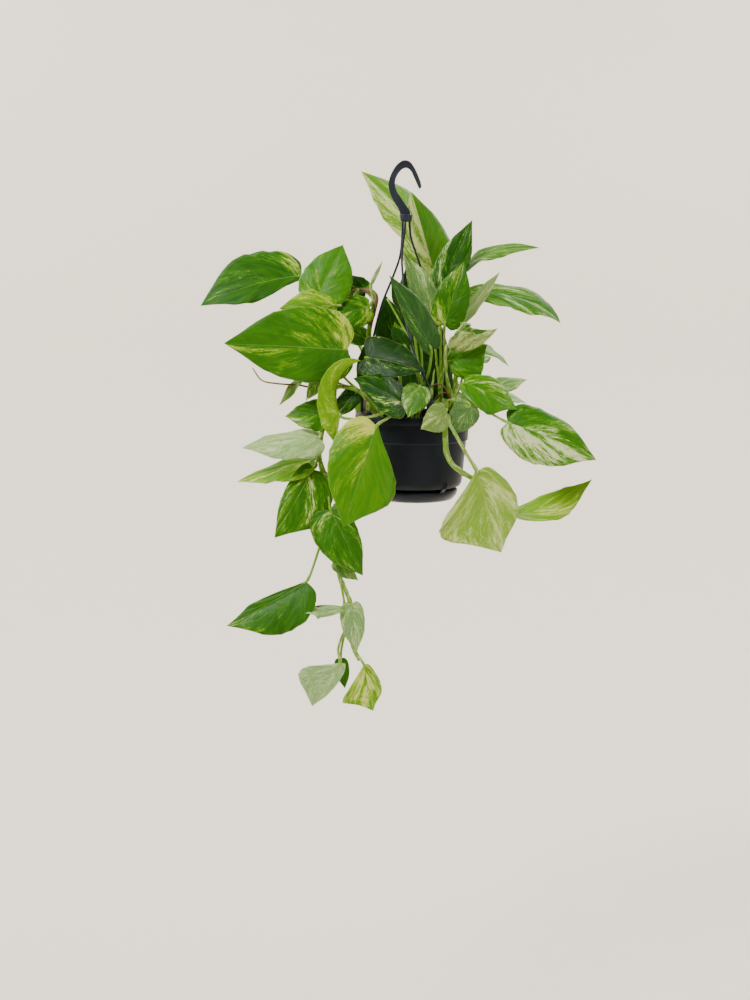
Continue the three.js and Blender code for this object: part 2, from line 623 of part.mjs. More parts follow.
function hook() {
  const low = collarTop - 2;
  const shape = new THREE.Shape().moveTo(-6.6 + collarX, low);
  shape.splineThru([...hookOutline, [5.6 + collarX, low]].map(([x, z]) => new THREE.Vector2(x, z)));
  const depth = hookThick - 2 * hookBevel;
  const settings = {
    depth,
    curveSegments: 2,
    bevelThickness: hookBevel,
    bevelSize: hookBevel,
    bevelOffset: -hookBevel,
    bevelSegments: 1,
  };
  const geometry = new THREE.ExtrudeGeometry(shape, settings).translate(0, 0, -depth / 2);
  let made = solid(geometry.rotateX(Math.PI / 2));
  const [small, large] = collarRadii;
  const collar = new THREE.CylinderGeometry(small, large, collarHeight, 20).rotateX(Math.PI / 2);
  made = made.add(solid(collar.translate(collarX, 0, collarTop - collarHeight / 2)));
  const bottom = collarTop - collarHeight;
  for (const { route } of strands) {
    const [x, y] = route[0];
    made = made.subtract(peg(strandRadius + gap, bottom - 1, bottom + socketDepth, x, y, 8));
  }
  return made;
}

// Strands: from the collar's socket to the top of the clip, without those two ends
const strands = [
  { name: "strand_left",
    route: [[-5, 1.5, -68], [-8, 1, -104], [-16, 4, -128], [-29, 9, -160], [-36, 13, -184],
      [-41, 16, -206]] },
  { name: "strand_front",
    route: [[-2, -4.5, -68], [-6, -4, -104], [-5, -12, -130], [-3, -28, -174], [3, -40, -202],
      [12, -50, -230]] },
  { name: "strand_back", route: [[3.5, 2, -68], [5, 3, -82], [10, 6, -98], [17, 10, -117]] },
];

function strand({ name, route }) {
  const turn = clipTurns[name];
  const head = [...route[0].slice(0, 2), collarTop - collarHeight + socketDepth - gap];
  const [x, y] = [Math.cos(rad(turn)), Math.sin(rad(turn))].map((c, i) => potAxis[i] + clipRing * c);
  const clipLow = rimTop - potWall - gap - barbSize[2];
  const clipTop = clipLow + clipSize[2];
  const cord = bar([head, ...route, [x, y, clipTop + 8], [x, y, clipTop - 6]], strandRadius, 6, 17);
  return cord.made.add(block(clipSize, clipLow, turn)).add(block(barbSize, clipLow, turn));
}

const plastic = { color: 0x26282c, roughness: 0.45 };
const pieces = [
  ["pot", pot(), plastic],
  ["saucer", saucer(), { color: 0x34363b, roughness: 0.4 }],
  ["soil", soil(), { color: 0x3a2a1e, roughness: 0.95 }],
  ["hanger_hook", hook(), { color: 0x3b3d45, roughness: 0.4 }],
  ...strands.map((row) => [row.name, strand(row), { color: 0x3b3d45, roughness: 0.4 }]),
  ...vines.map((row) => [row.name, vine(row), { color: leafGreen, roughness: 0.45 }]),
];

const basket = new THREE.Group();
for (const [name, made, look] of pieces) {
  const mesh = new THREE.Mesh(geometryOf(made), new THREE.MeshStandardMaterial({ ...look, metalness: 0 }));
  mesh.name = name;
  basket.add(mesh);
}

export default basket;
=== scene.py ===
import json
import math
import random

import bmesh
import bpy
from mathutils import Euler, Matrix, Quaternion, Vector, noise

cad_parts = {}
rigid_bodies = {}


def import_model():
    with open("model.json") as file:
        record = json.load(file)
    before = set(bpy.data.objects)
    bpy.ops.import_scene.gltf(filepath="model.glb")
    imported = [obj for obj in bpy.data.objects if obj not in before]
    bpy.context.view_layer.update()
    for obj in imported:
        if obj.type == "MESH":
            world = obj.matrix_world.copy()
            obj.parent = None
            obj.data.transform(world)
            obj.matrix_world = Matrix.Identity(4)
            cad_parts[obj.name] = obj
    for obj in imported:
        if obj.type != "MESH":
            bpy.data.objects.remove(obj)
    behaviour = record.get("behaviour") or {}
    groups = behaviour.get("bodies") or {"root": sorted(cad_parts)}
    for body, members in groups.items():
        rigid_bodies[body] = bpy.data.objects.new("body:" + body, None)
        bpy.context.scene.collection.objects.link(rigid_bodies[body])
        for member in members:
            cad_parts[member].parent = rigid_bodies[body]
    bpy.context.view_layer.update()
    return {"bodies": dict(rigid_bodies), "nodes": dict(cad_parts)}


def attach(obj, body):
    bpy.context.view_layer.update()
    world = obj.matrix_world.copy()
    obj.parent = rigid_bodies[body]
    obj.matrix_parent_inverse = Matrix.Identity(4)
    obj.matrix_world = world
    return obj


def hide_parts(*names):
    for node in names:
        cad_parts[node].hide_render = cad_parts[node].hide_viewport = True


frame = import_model()
mm = 0.001
scene = bpy.context.scene
bodyName = next(iter(frame["bodies"]))
print("frame loaded:", len(frame["nodes"]), "nodes")


# Camera: the rim's and the saucer's ellipses give its pitch, and it looks along +Y
cameraView = {
    "place": (-0.0386, -1.9, -0.1338),
    "pitchDown": 8.1,  # degrees
    "focalLength": 55.62,  # mm
    "sensor": 36,  # mm along the image's long side
    "clipStart": 0.05,
}


def makeCamera():
    lens = bpy.data.cameras.new("camera")
    lens.sensor_width = cameraView["sensor"]
    lens.lens = cameraView["focalLength"]
    lens.clip_start = cameraView["clipStart"]
    camera = bpy.data.objects.new("camera", lens)
    camera.location = cameraView["place"]
    camera.rotation_euler = (math.radians(90 - cameraView["pitchDown"]), 0, 0)
    scene.collection.objects.link(camera)
    scene.camera = camera


makeCamera()
print("camera placed")


def linear(hexColour):
    # An sRGB hex value as the linear colour that shaders take
    parts = [int(hexColour[i:i + 2], 16) / 255 for i in (1, 3, 5)]
    return [p / 12.92 if p <= 0.04045 else ((p + 0.055) / 1.055) ** 2.4 for p in parts] + [1]


def newMaterial(name):
    material = bpy.data.materials.new(name)
    material.use_nodes = True
    tree = material.node_tree
    tree.nodes.clear()
    return material, tree


def addNode(tree, kind, inputs=(), **settings):
    # Adds a node with its settings. Its inputs are a list in their order, or a dictionary. Each is a
    # number, a hex colour, an output that feeds it, or a node whose first output does.
    node = tree.nodes.new("ShaderNode" + kind)
    for name, value in settings.items():
        setattr(node, name, value)
    for socket, value in (inputs if isinstance(inputs, dict) else dict(enumerate(inputs))).items():
        if isinstance(value, bpy.types.Node):
            value = value.outputs[0]
        if isinstance(value, bpy.types.NodeSocket):
            tree.links.new(value, node.inputs[socket])
        else:
            node.inputs[socket].default_value = linear(value) if isinstance(value, str) else value
    return node


def addSkin(tree, bumps, inputs):
    # A surface with its inputs over bumps, each a pattern with its strength and its height in mm
    normal = {}
    for pattern, (strength, height) in bumps:
        bump = {"Height": pattern, "Strength": strength, "Distance": height * mm, **normal}
        normal = {"Normal": addNode(tree, "Bump", bump)}
    return addNode(tree, "BsdfPrincipled", {**inputs, **normal})


soft = {"interpolation_type": "SMOOTHSTEP"}  # a range that starts and ends gently
colours = {"data_type": "RGBA"}  # a mix of two colours: inputs 6 and 7, output 2


def makePiece(name, shape, materials, node):
    # A named piece of the part from a bmesh, in place of one of its solids
    mesh = bpy.data.meshes.new(name)
    shape.normal_update()
    shape.to_mesh(mesh)
    shape.free()
    for material in materials:
        mesh.materials.append(material)
    piece = bpy.data.objects.new(name, mesh)
    scene.collection.objects.link(piece)
    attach(piece, bodyName)
    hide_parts(node)
    return piece


# Leaf tissue: a waxy upper skin over green cells, with cells that hold little or no green scattered in
# sectors along the side veins. It gives the eye fine cream and yellow-green marbling that runs out from
# the midrib and forward to the tip, and a soft satin sheen. The under skin is paler and matt. On a
# blade 100 mm long the finest threads of cream are 0.6 mm apart.
leafLook = {
    "greens": [(0, "#0a2600"), (0.25, "#1f5200"), (0.5, "#458700"), (0.75, "#78ab00"), (1, "#a6cc1a")],
    "pale": ("#8fba4c", "#98ba0a"),  # between green and cream, cool and warm
    "cream": ("#e6f0b4", "#dbe24a"),
    "under": ("#86a83c", "#d4e288"),  # green and cream cells seen from below
    "bloom": "#c2d8a0",  # grey skin of the palest undersides
    # colour of the veins, and of the painted sheen along the upper skin's edge
    "vein": "#b4cc6e",
    "patterns": {
        # how many to a blade's length and to its width, detail, distortion, and weight in the marbling
        "sectors": (6, 2.2, 1, 0.6, 2.3),
        "patches": (18, 5, 2, 0.9, 1.3),
        "streaks": (66, 10, 3, 1, 2),
        "threads": (170, 34, 2, 0.8, 1.5),
    },
    "patternRoughness": 0.6,
    "forward": 0.22,  # how far the marbling runs forward on its way to the edge, as a share of the blade
    "ownPlace": 61,  # how far the leaves' own places in the patterns are spread
    "halfApart": 3.7,  # how far apart those of a leaf's two halves are
    "lighterAt": (0.15, 0.5, 0, 0.16),  # from and to which marbling the green lightens, and by how much
    "paleAt": (0.46, 0.7),  # from and to which marbling it turns pale, and cream
    "creamAt": (0.74, 0.94),
    "patchShade": (0.3, 0.7, -0.05, 0.05),  # the green differs a little from patch to patch
    "greenInPale": 0.35,
    "underShare": 0.55,  # how much of the under skin's own colour covers the marbling
    "bloomAt": (0.8, 1.15, 0.3, 0.9),  # the bloom is thinner where the cells under it are green
    "sideVeins": 4.5,  # to a blade's length, on each side
    "veinWander": 0.9,
    "ribLine": (0.16, 0),  # where a vein has faded, and where it is full, on the way to the next one
    "midLine": (0.014, 0.003),  # the same for the midrib, in blade widths
    "paintedEdgeSheen": (0.482, 0.5, 0, 0.35),  # the same for the painted sheen, a pale line along the edge, and how much it shows
    "ribTint": (0.03, 0.15),  # how much of the veins' colour shows above, and below
    "midTint": (0.25, 0.6),
    "ribRelief": 0.5,  # against the midrib's
    "blisters": (0.09, 1.6),  # to a mm, and how high against the midrib
    "cells": 0.7,  # to a mm
    "veinBump": (0.6, 0.7),  # strength, and height in mm
    "cellBump": (0.12, 0.2),
    "satin": (0.3, 0.7, 0.37, 0.52),  # roughness over the cells, above
    "matt": 0.6,  # and below
    "ior": 1.42,
    "specular": 0.28,
    "glow": 0.2,  # share of the light that comes through the blade
}


def leafColour(tree):
    # What both skins share: the two skins' colours, the veins' height and the grey bloom
    p = leafLook
    place = addNode(tree, "UVMap", uv_map="leafMap")
    along, across = addNode(tree, "SeparateXYZ", [place]).outputs[:2]
    look = addNode(tree, "Attribute", attribute_name="leafLook")
    tone, cream, seed = addNode(tree, "SeparateColor", [look.outputs["Color"]]).outputs[:3]
    warm = addNode(tree, "Attribute", attribute_name="leafWarm").outputs["Fac"]
    offset = addNode(tree, "Math", [across, 0.5], operation="SUBTRACT")
    half = addNode(tree, "Math", [offset], operation="ABSOLUTE")
    swept = addNode(tree, "Math", [half, -2 * p["forward"], along], operation="MULTIPLY_ADD")
    side = addNode(tree, "Math", [across, 0.5], operation="GREATER_THAN")
    ownPlace = addNode(tree, "Math", [seed, p["ownPlace"]], operation="MULTIPLY")
    shift = addNode(tree, "Math", [side, p["halfApart"], ownPlace], operation="MULTIPLY_ADD")

    total, patterns = cream, {}
    for name, (lengthwise, crosswise, detail, distortion, weight) in p["patterns"].items():
        x = addNode(tree, "Math", [swept, lengthwise], operation="MULTIPLY")
        y = addNode(tree, "Math", [across, crosswise], operation="MULTIPLY")
        point = addNode(tree, "CombineXYZ", [x, y, shift])
        patterns[name] = addNode(tree, "TexNoise", {
            "Vector": point, "Scale": 1, "Detail": detail, "Roughness": p["patternRoughness"],
            "Distortion": distortion})
        part = addNode(tree, "Math", [patterns[name], weight, -weight / 2], operation="MULTIPLY_ADD")
        total = addNode(tree, "Math", [total, part], operation="ADD")
    lighter = addNode(tree, "MapRange", [total, *p["lighterAt"]], **soft)
    paleMask = addNode(tree, "MapRange", [total, *p["paleAt"]], **soft)
    creamMask = addNode(tree, "MapRange", [total, *p["creamAt"]], **soft)
    patchShade = addNode(tree, "MapRange", [patterns["patches"], *p["patchShade"]], **soft)

    lit = addNode(tree, "Math", [tone, lighter], operation="ADD")
    shade = addNode(tree, "Math", [lit, patchShade], operation="ADD")
    greens = addNode(tree, "ValToRGB", [shade])
    stops = greens.color_ramp.elements
    stops.remove(stops[1])
    for i, (position, colour) in enumerate(p["greens"]):
        stop = stops.new(position) if i else stops[0]
        stop.position, stop.color = position, linear(colour)
    pale, creamy, under = [
        addNode(tree, "Mix", {0: share, 6: first, 7: second}, **colours).outputs[2]
        for share, (first, second) in ((warm, p["pale"]), (warm, p["cream"]), (paleMask, p["under"]))]
    greenish = addNode(tree, "Mix", {0: p["greenInPale"], 6: pale, 7: greens}, **colours).outputs[2]
    paled = addNode(tree, "Mix", {0: paleMask, 6: greens, 7: greenish}, **colours).outputs[2]
    marbled = addNode(tree, "Mix", {0: creamMask, 6: paled, 7: creamy}, **colours).outputs[2]
    below = addNode(tree, "Mix", {0: p["underShare"], 6: marbled, 7: under}, **colours).outputs[2]

    veins = addNode(tree, "Math", [along, 2 * p["sideVeins"]], operation="MULTIPLY")
    wander = addNode(tree, "Math", [patterns["sectors"], p["veinWander"], veins], operation="MULTIPLY_ADD")
    between = addNode(tree, "Math", [wander, 1], operation="PINGPONG")
    ribLine = addNode(tree, "MapRange", [between, *p["ribLine"]], **soft)
    midLine = addNode(tree, "MapRange", [half, *p["midLine"]], **soft)
    # a pale line along the blade's edge: painted sheen
    paintedEdgeSheen = addNode(tree, "MapRange", [half, *p["paintedEdgeSheen"]], **soft)
    skins = []
    for skin, ribTint, midTint in zip((marbled, below), p["ribTint"], p["midTint"]):
        ribs = addNode(tree, "Math", [ribLine, ribTint], operation="MULTIPLY")
        midrib = addNode(tree, "Math", [midLine, midTint], operation="MULTIPLY")
        lines = addNode(tree, "Math", [ribs, midrib], operation="MAXIMUM")
        # the upper skin also takes the painted edge sheen, in the veins' colour
        if skin is marbled:
            lines = addNode(tree, "Math", [lines, paintedEdgeSheen], operation="MAXIMUM")
        skins.append(addNode(tree, "Mix", {0: lines, 6: skin, 7: p["vein"]}, **colours).outputs[2])
    ribs = addNode(tree, "Math", [ribLine, p["ribRelief"]], operation="MULTIPLY")
    groove = addNode(tree, "Math", [ribs, midLine], operation="MAXIMUM")
    flecks = addNode(tree, "Math", [patterns["streaks"], patterns["threads"]], operation="ADD")
    mottle = addNode(tree, "MapRange", [flecks, *p["bloomAt"]], **soft)
    bloom = addNode(tree, "Math", [look.outputs["Alpha"], mottle], operation="MULTIPLY")
    return *skins, groove, bloom


def leafMaterial(name, underside):
    p = leafLook
    material, tree = newMaterial(name)
    upper, under, groove, bloom = leafColour(tree)
    skinColour = under if underside else upper
    colour = addNode(tree, "Mix", {0: bloom, 6: skinColour, 7: p["bloom"]}, **colours).outputs[2]
    object3d = addNode(tree, "TexCoord").outputs["Object"]
    perMm, height = p["blisters"]
    blisters = addNode(tree, "TexNoise", {"Vector": object3d, "Scale": perMm / mm, "Detail": 1})
    cells = addNode(tree, "TexNoise", {"Vector": object3d, "Scale": p["cells"] / mm, "Detail": 2})
    raised = addNode(tree, "Math", [blisters, height], operation="MULTIPLY")
    way = 1 if underside else -1  # veins stand out below and lie in grooves above
    veined = addNode(tree, "Math", [groove, way, raised], operation="MULTIPLY_ADD")
    satin = addNode(tree, "MapRange", [cells, *p["satin"]], **soft)
    skin = addSkin(tree, [(veined, p["veinBump"]), (cells, p["cellBump"])], {
        "Base Color": colour, "Roughness": p["matt"] if underside else satin, "IOR": p["ior"],
        "Specular IOR Level": p["specular"]})
    through = addNode(tree, "BsdfTranslucent", {"Color": colour})
    both = addNode(tree, "MixShader", [p["glow"], skin, through])
    addNode(tree, "OutputMaterial", [both])
    return material


# Stalks and stems: fleshy green skin streaked lengthwise with cream, browned and corky at the nodes
stemLook = {
    "green": "#6f9a1c",
    "cream": "#c3d07a",
    "cork": "#6b4a28",
    "streaks": (1.2, 9, 1),  # to 10 mm of stem, and round it
    "creamAt": (0.82, 1),
    "bark": 0.5,  # grains to a mm
    "barkBump": (0.25, 0.3),  # strength, and height in mm
    "corkAt": (0.2, 0.42),
    "roughness": 0.4,
    "ior": 1.45,
}


def stemMaterial():
    p = stemLook
    material, tree = newMaterial("fleshyStem")
    place = addNode(tree, "UVMap", uv_map="leafMap")
    look = addNode(tree, "Attribute", attribute_name="leafLook").outputs["Color"]
    cork, cream = addNode(tree, "SeparateColor", [look]).outputs[:2]
    longwise = addNode(tree, "Mapping", {"Vector": place, "Scale": p["streaks"]})
    moved = addNode(tree, "VectorMath", [longwise, look], operation="ADD")
    streaks = addNode(tree, "TexNoise", {"Vector": moved, "Scale": 1, "Detail": 3})
    creamy = addNode(tree, "Math", [streaks, cream], operation="ADD")
    creamMask = addNode(tree, "MapRange", [creamy, *p["creamAt"]], **soft)
    object3d = addNode(tree, "TexCoord").outputs["Object"]
    bark = addNode(tree, "TexNoise", {"Vector": object3d, "Scale": p["bark"] / mm, "Detail": 4})
    corky = addNode(tree, "Math", [cork, bark], operation="MULTIPLY")
    corkMask = addNode(tree, "MapRange", [corky, *p["corkAt"]], **soft)
    flesh = addNode(tree, "Mix", {0: creamMask, 6: p["green"], 7: p["cream"]}, **colours).outputs[2]
    colour = addNode(tree, "Mix", {0: corkMask, 6: flesh, 7: p["cork"]}, **colours).outputs[2]
    skin = addSkin(tree, [(bark, p["barkBump"])], {
        "Base Color": colour, "Roughness": p["roughness"], "IOR": p["ior"]})
    addNode(tree, "OutputMaterial", [skin])
    return material


leafMaterials = [leafMaterial("waxyLeafUpper", False), leafMaterial("mattLeafUnder", True), stemMaterial()]
print("plant materials made")


# Leaves: what a row of the table below leaves out is as usual
usualBlade = {
    "stalk": 1.6,  # the stalk's radius in mm
    "mid": None,  # the midrib's two inner control points, where bow doesn't give them
    "bow": (0, 0),  # mm that they stand off the straight line at a third and two thirds of the way
    "sweep": (0, 0),  # how far the two edges run ahead of the midrib, as a share of the length
    "late": (0, 0),  # how much narrower each half starts
    "fold": (6, 6),  # degrees that each half rises from flat
    "curl": (-10, -10),  # degrees more at its edge
    "twist": 0,  # degrees from base to tip
    "toward": (0, 0),  # how much more cream each half has at its tip, and less at its base
    "bloom": 0,  # grey skin
    "warm": 0.3,  # from cool cream, 0, to yellow, 1
}


def blade(start, via, at, tip, face, half, tone, cream, **own):
    # A leaf: where along its stem its stalk starts, the stalk's way, where the blade starts and ends,
    # which way its upper side looks, how wide its left and right halves are, how light its green is,
    # and how much cream each half has
    row = {"start": start, "via": via, "at": at, "tip": tip, "face": face, "half": half}
    return {**usualBlade, **row, "tone": tone, "cream": cream, **own}


# The stems, in mm, with the same points as the solids: where each leaves the soil, its way from there,
# its blades, its bare shoots (start, radius, cork, way) and its roots above the soil (start, way)
# Leaves with a near-black green and no cream fill the plant's inside; their dark green is painted shade
vines = [
    dict(
        name="vine_top_back", foot=(30, 30),
        stem=[(31, 31, -285), (33, 36, -262)],
        leaves=[
            blade(0.96, [(30, 52, -170)], (28, 60, -84), (-56, 72, 1), (0.3, -0.7, 0.6), (32, 36), 0.62,
                  (0.68, 0.05), bow=(6, 4), bloom=0.08, warm=0.5),
            # a filler leaf inside the plant: its near-black green without cream is painted shade
            blade(0.7, [], (30, 40, -238), (24, 44, -160), (0, -1, 0.1), (23, 22), 0.2, (-0.5, -0.5),
                  warm=0.5),
            # a filler leaf inside the plant: its near-black green without cream is painted shade
            blade(0.5, [], (43, 34, -277), (30, 38, -186), (0, -1, 0.1), (19, 19), 0.12, (-0.5, -0.5)),
            blade(0.8, [(40, 40, -200)], (38, 34, -140), (6, 48, -25), (0.25, -1, 0.15), (34, 32), 0.54,
                  (0.85, -0.5), bow=(8, 4), toward=(0.1, 0.35), bloom=0.05, warm=0.5),
        ],
    ),
    dict(
        name="vine_top_right", foot=(44, 6),
        stem=[(43, 4, -285), (41, 2, -264)],
        leaves=[
            blade(0.7, [(36, 2, -220)], (33, 4, -182), (-3, 6, -102), (-0.15, -1, 0), (13, 20), 0.4,
                  (0.6, 0.35), bow=(4, 4), sweep=(0, 0.15), bloom=0.35, warm=0.2),
            blade(0.95, [(42, 4, -200)], (41, 8, -152), (80, 14, -61), (-0.1, -1, 0.1), (21, 20), 0.27,
                  (0.34, 0.22), bow=(4, 4), warm=0.1),
            blade(0.85, [(46, -8, -225)], (46, -18, -187), (69, -16, -111), (-0.2, -1, 0.1), (22, 22), 0.37,
                  (0.42, -0.1), bow=(4, 6), warm=0.7),
        ],
    ),
    dict(
        name="vine_right_high", foot=(56, 20),
        stem=[(58, 20, -285), (62, 20, -262)],
        leaves=[
            blade(0.95, [(68, 26, -180)], (74, 30, -119), (165, 40, -94), (0, -0.45, 0.9), (17, 18), 0.44,
                  (0.2, 0.3), twist=50, mid=[(90, 33, -98), (124, 37, -92)], toward=(0, -0.1), bloom=0.1),
            blade(0.75, [(62, 12, -220)], (66, -2, -180), (113, -6, -124), (-0.3, 0.8, 0.3), (10, 10), 0.5,
                  (0.45, 0.45), bow=(-4, 0), bloom=0.55, warm=0.2),
            blade(0.85, [(72, 16, -200)], (80, 18, -149), (188, 2, -186), (0, -0.6, 0.8), (22, 24), 0.4,
                  (0.3, 0.45), sweep=(0.2, 0.25), mid=[(112, 16, -143), (172, 5, -160)],
                  toward=(-0.35, -0.2), bloom=0.05, warm=0.2),
        ],
    ),
    dict(
        name="vine_right_mid", foot=(62, -4),
        stem=[(60, -8, -290), (56, -12, -276)],
        leaves=[
            blade(0.98, [(47, -28, -240)], (49, -36, -212), (108, -38, -191), (0, -0.3, 1), (38, 33), 0.32,
                  (0.75, 0.72), fold=(60, 56), curl=(20, 10), sweep=(-0.25, -0.1),
                  mid=[(60, -38, -226), (90, -38, -216)], bloom=0.12),
            blade(0.85, [(50, -18, -262)], (50, -22, -232), (97, -26, -211), (0.1, -0.9, 0.3), (14, 34),
                  0.46, (0.1, 0.05), bow=(3, 3), sweep=(0, 0.25)),
            blade(0.9, [(74, 4, -240)], (88, 12, -213), (126, 6, -239), (0.2, -0.3, 0.9), (12, 12), 0.5,
                  (0.2, 0.2), bow=(6, 4), bloom=0.2, warm=0.2),
            blade(0.6, [(80, 4, -282)], (100, 14, -271), (152, 34, -257), (0, -0.5, 0.85), (16, 16), 0.5,
                  (0.45, 0.45), bow=(6, 4), bloom=0.3, warm=0.2),
            blade(0.5, [(80, -6, -286)], (100, -6, -274), (148, 4, -284), (0, -0.4, 0.9), (14, 14), 0.5,
                  (0.45, 0.45), bow=(6, 4), bloom=0.3, warm=0.2),
        ],
    ),
    dict(
        name="vine_right_low", foot=(58, -26),
        stem=[(55, -33, -292), (51, -42, -277)],
        airRoots=[
            (0.9, [(44, -50, -260), (34, -50, -257), (25, -49, -266), (28, -48, -279), (40, -46, -284)]),
            (0.6, [(48, -46, -268), (38, -44, -270), (30, -42, -286), (28, -40, -300)]),
        ],
        leaves=[
            blade(0.9, [(60, -46, -268)], (68, -50, -256), (131, -58, -287), (0, -0.75, 0.65), (23, 28),
                  0.48, (0.25, 0.15), bow=(8, 8), sweep=(0.1, 0.35), toward=(-0.1, -0.1), warm=0.35),
            blade(0.99, [(62, -56, -275), (88, -62, -285)], (120, -64, -302), (224, -78, -345),
                  (0, -0.85, 0.5), (32, 38), 0.42, (0.3, 0.8), bow=(10, 8), sweep=(0, 0.15),
                  toward=(0.4, 0), warm=0.1),
            blade(0.85, [(56, -66, -276)], (74, -70, -281), (54, -75, -315), (0.2, -1, 0.3), (17, 17), 0.3,
                  (0.25, 0.25), bloom=0.25, warm=0.2),
            blade(0.93, [], (60, -57, -281), (77, -53, -264), (0, -1, 0.2), (8, 8), 0.5, (0.4, 0.4),
                  bloom=0.3),
        ],
    ),
    dict(
        name="vine_right_trail", foot=(36, -40), thick=3.4,
        stem=[(36, -50, -288), (38, -64, -284), (42, -80, -291), (44, -84, -308), (46, -83, -336),
              (53, -82, -350), (64, -80, -359), (80, -77, -369), (106, -73, -389)],
        leaves=[
            blade(0.36, [(54, -93, -310), (70, -93, -338)], (82, -90, -358), (111, -98, -453),
                  (-0.1, 0.9, 0.35), (78, 36), 0.82, (0.22, 0.6), stalk=2.2, bow=(6, 10),
                  sweep=(0.33, 0.25), late=(0.9, 0), toward=(0.2, 0.35), bloom=0.07, warm=0.4),
            blade(1, [(120, -70, -400)], (131, -66, -412), (224, -48, -372), (-0.2, -0.7, 0.7), (19, 22),
                  0.74, (0.25, 0.42), bow=(-18, -18), sweep=(0.3, 0.3), warm=0.65),
            blade(0.33, [], (44, -94, -286), (15, -103, -306), (0, 0.9, 0.4), (17, 19), 0.45, (0.35, 0.3),
                  bloom=0.25),
        ],
    ),
    dict(
        name="vine_left_high", foot=(-32, 2), thick=3.3, corkFrom=0.6,
        stem=[(-38, 4, -270), (-46, 8, -198), (-38, 14, -152), (-52, 22, -146), (-76, 26, -150),
              (-96, 28, -150)],
        leaves=[
            blade(1, [(-116, 28, -138)], (-130, 26, -129), (-252, 4, -165), (0.1, -0.7, 0.7), (32, 56),
                  0.32, (-0.4, 0.15), bow=(14, 12), sweep=(0.15, 0.08), late=(0.7, 0), toward=(0, -0.6),
                  warm=0.75),
            blade(0.95, [(-104, 10, -162)], (-110, -4, -157), (-78, 22, -91), (-0.1, -0.9, 0.3), (30, 34),
                  0.5, (0, -0.05), bow=(4, 6), toward=(-0.3, -0.3), warm=0.7),
            blade(0.85, [(-76, 2, -164)], (-86, -14, -164), (-154, -22, -168), (0, -0.8, 0.6), (20, 27),
                  0.6, (0.45, 0.3), bow=(6, 4), fold=(-60, 0), warm=0.8),
            blade(0.66, [(-42, 8, -160)], (-47, -2, -166), (-112, -12, -186), (0, -0.9, 0.4), (22, 20),
                  0.38, (0.3, 0.2), bow=(4, 4), warm=0.9),
            blade(0.72, [], (-50, 30, -148), (-92, 44, -128), (0, -0.8, 0.5), (16, 16), 0.25, (0.05, 0.05),
                  warm=0.5),
            blade(0.7, [], (-43, 14, -138), (-29, 12, -110), (0, -1, 0), (2.5, 2.5), 0.5, (0.5, 0.5),
                  bloom=0.7, warm=0.2),
            blade(0.5, [], (-50, 14, -206), (-86, 16, -184), (0, -0.9, 0.3), (13, 13), 0.45, (0.15, 0.1),
                  warm=0.5),
        ],
    ),
    dict(
        name="vine_centre", foot=(14, 2),
        stem=[(16, -3, -285), (20, -10, -262)],
        shoots=[
            (0.95, 2.3, 0.3, [(6, -10, -214), (-8, -6, -184), (-24, 0, -156)]),
        ],
        leaves=[
            blade(0.95, [(27, -32, -240)], (28, -46, -214), (-22, -54, -128), (0.3, -0.9, 0.35), (13, 21),
                  0.26, (0, -0.2), bow=(6, 4), bloom=0.04, warm=0.1),
            # a filler leaf inside the plant: its near-black green without cream is painted shade
            blade(0.62, [], (8, 22, -286), (2, 26, -226), (0, -1, 0.1), (16, 16), 0.15, (-0.5, -0.5)),
            # a filler leaf inside the plant: its near-black green without cream is painted shade
            blade(0.9, [(18, -5, -220)], (10, 14, -172), (0, 16, -117), (0, -1, 0), (16, 16), 0.12,
                  (-0.4, -0.4)),
            # a filler leaf inside the plant: its near-black green without cream is painted shade
            blade(0.85, [(12, -12, -220)], (6, -8, -179), (-19, -8, -134), (-0.6, -0.8, 0.1), (14, 12),
                  0.15, (-0.3, -0.3)),
            blade(0.95, [(8, -16, -236)], (-5, -18, -212), (-15, -18, -184), (0, -1, 0.1), (9, 8), 0.6,
                  (0.1, 0.1), warm=0.7),
        ],
    ),
    dict(
        name="vine_front_centre", foot=(4, -24),
        stem=[(0, -33, -288), (-8, -42, -271)],
        airRoots=[
            (0.9, [(2, -50, -266), (12, -50, -276), (18, -46, -300)]),
        ],
        leaves=[
            blade(0.98, [(-36, -54, -246)], (-49, -60, -225), (20, -86, -240), (0, -0.85, 0.5), (31, 24),
                  0.1, (-0.25, 0.08), bow=(8, 6), sweep=(-0.3, -0.1)),
            blade(0.9, [(-34, -46, -262)], (-40, -46, -250), (-14, -54, -222), (0, -1, 0.2), (12, 12), 0.3,
                  (0.15, 0.1), warm=0.6),
            blade(0.75, [(-6, -62, -278)], (-4, -80, -280), (-64, -96, -247), (0, -0.75, 0.66), (26, 26),
                  0.2, (0.1, 0.1), bow=(8, 6), warm=0.2),
            blade(0.65, [(8, -60, -276)], (14, -80, -258), (0, -94, -293), (0, -1, 0.3), (17, 17), 0.42,
                  (0.4, 0.3), bloom=0.1, warm=0.2),
            # a filler leaf inside the plant: its near-black green without cream is painted shade
            blade(0.95, [(-8, -44, -240)], (-2, -46, -213), (-19, -48, -187), (-0.2, -1, 0.2), (9, 9), 0.2,
                  (-0.5, -0.5)),
        ],
    ),
    dict(
        name="vine_front_left", foot=(-14, -42),
        stem=[(-13, -54, -290), (-11, -68, -284), (-12, -79, -287)],
        airRoots=[
            (0.95, [(-46, -44, -268), (-50, -40, -284), (-48, -36, -300)]),
        ],
        leaves=[
            blade(1, [(-26, -86, -296)], (-37, -88, -304), (-76, -104, -422), (0, -1, 0.12), (58, 43), 0.54,
                  (-0.6, 0.45), bow=(6, 10), sweep=(0.25, 0.05), late=(0.9, 0), toward=(0, -1.1), warm=0.9),
            blade(0.9, [(-46, -80, -294), (-66, -70, -297)], (-79, -66, -294), (-55, -74, -228),
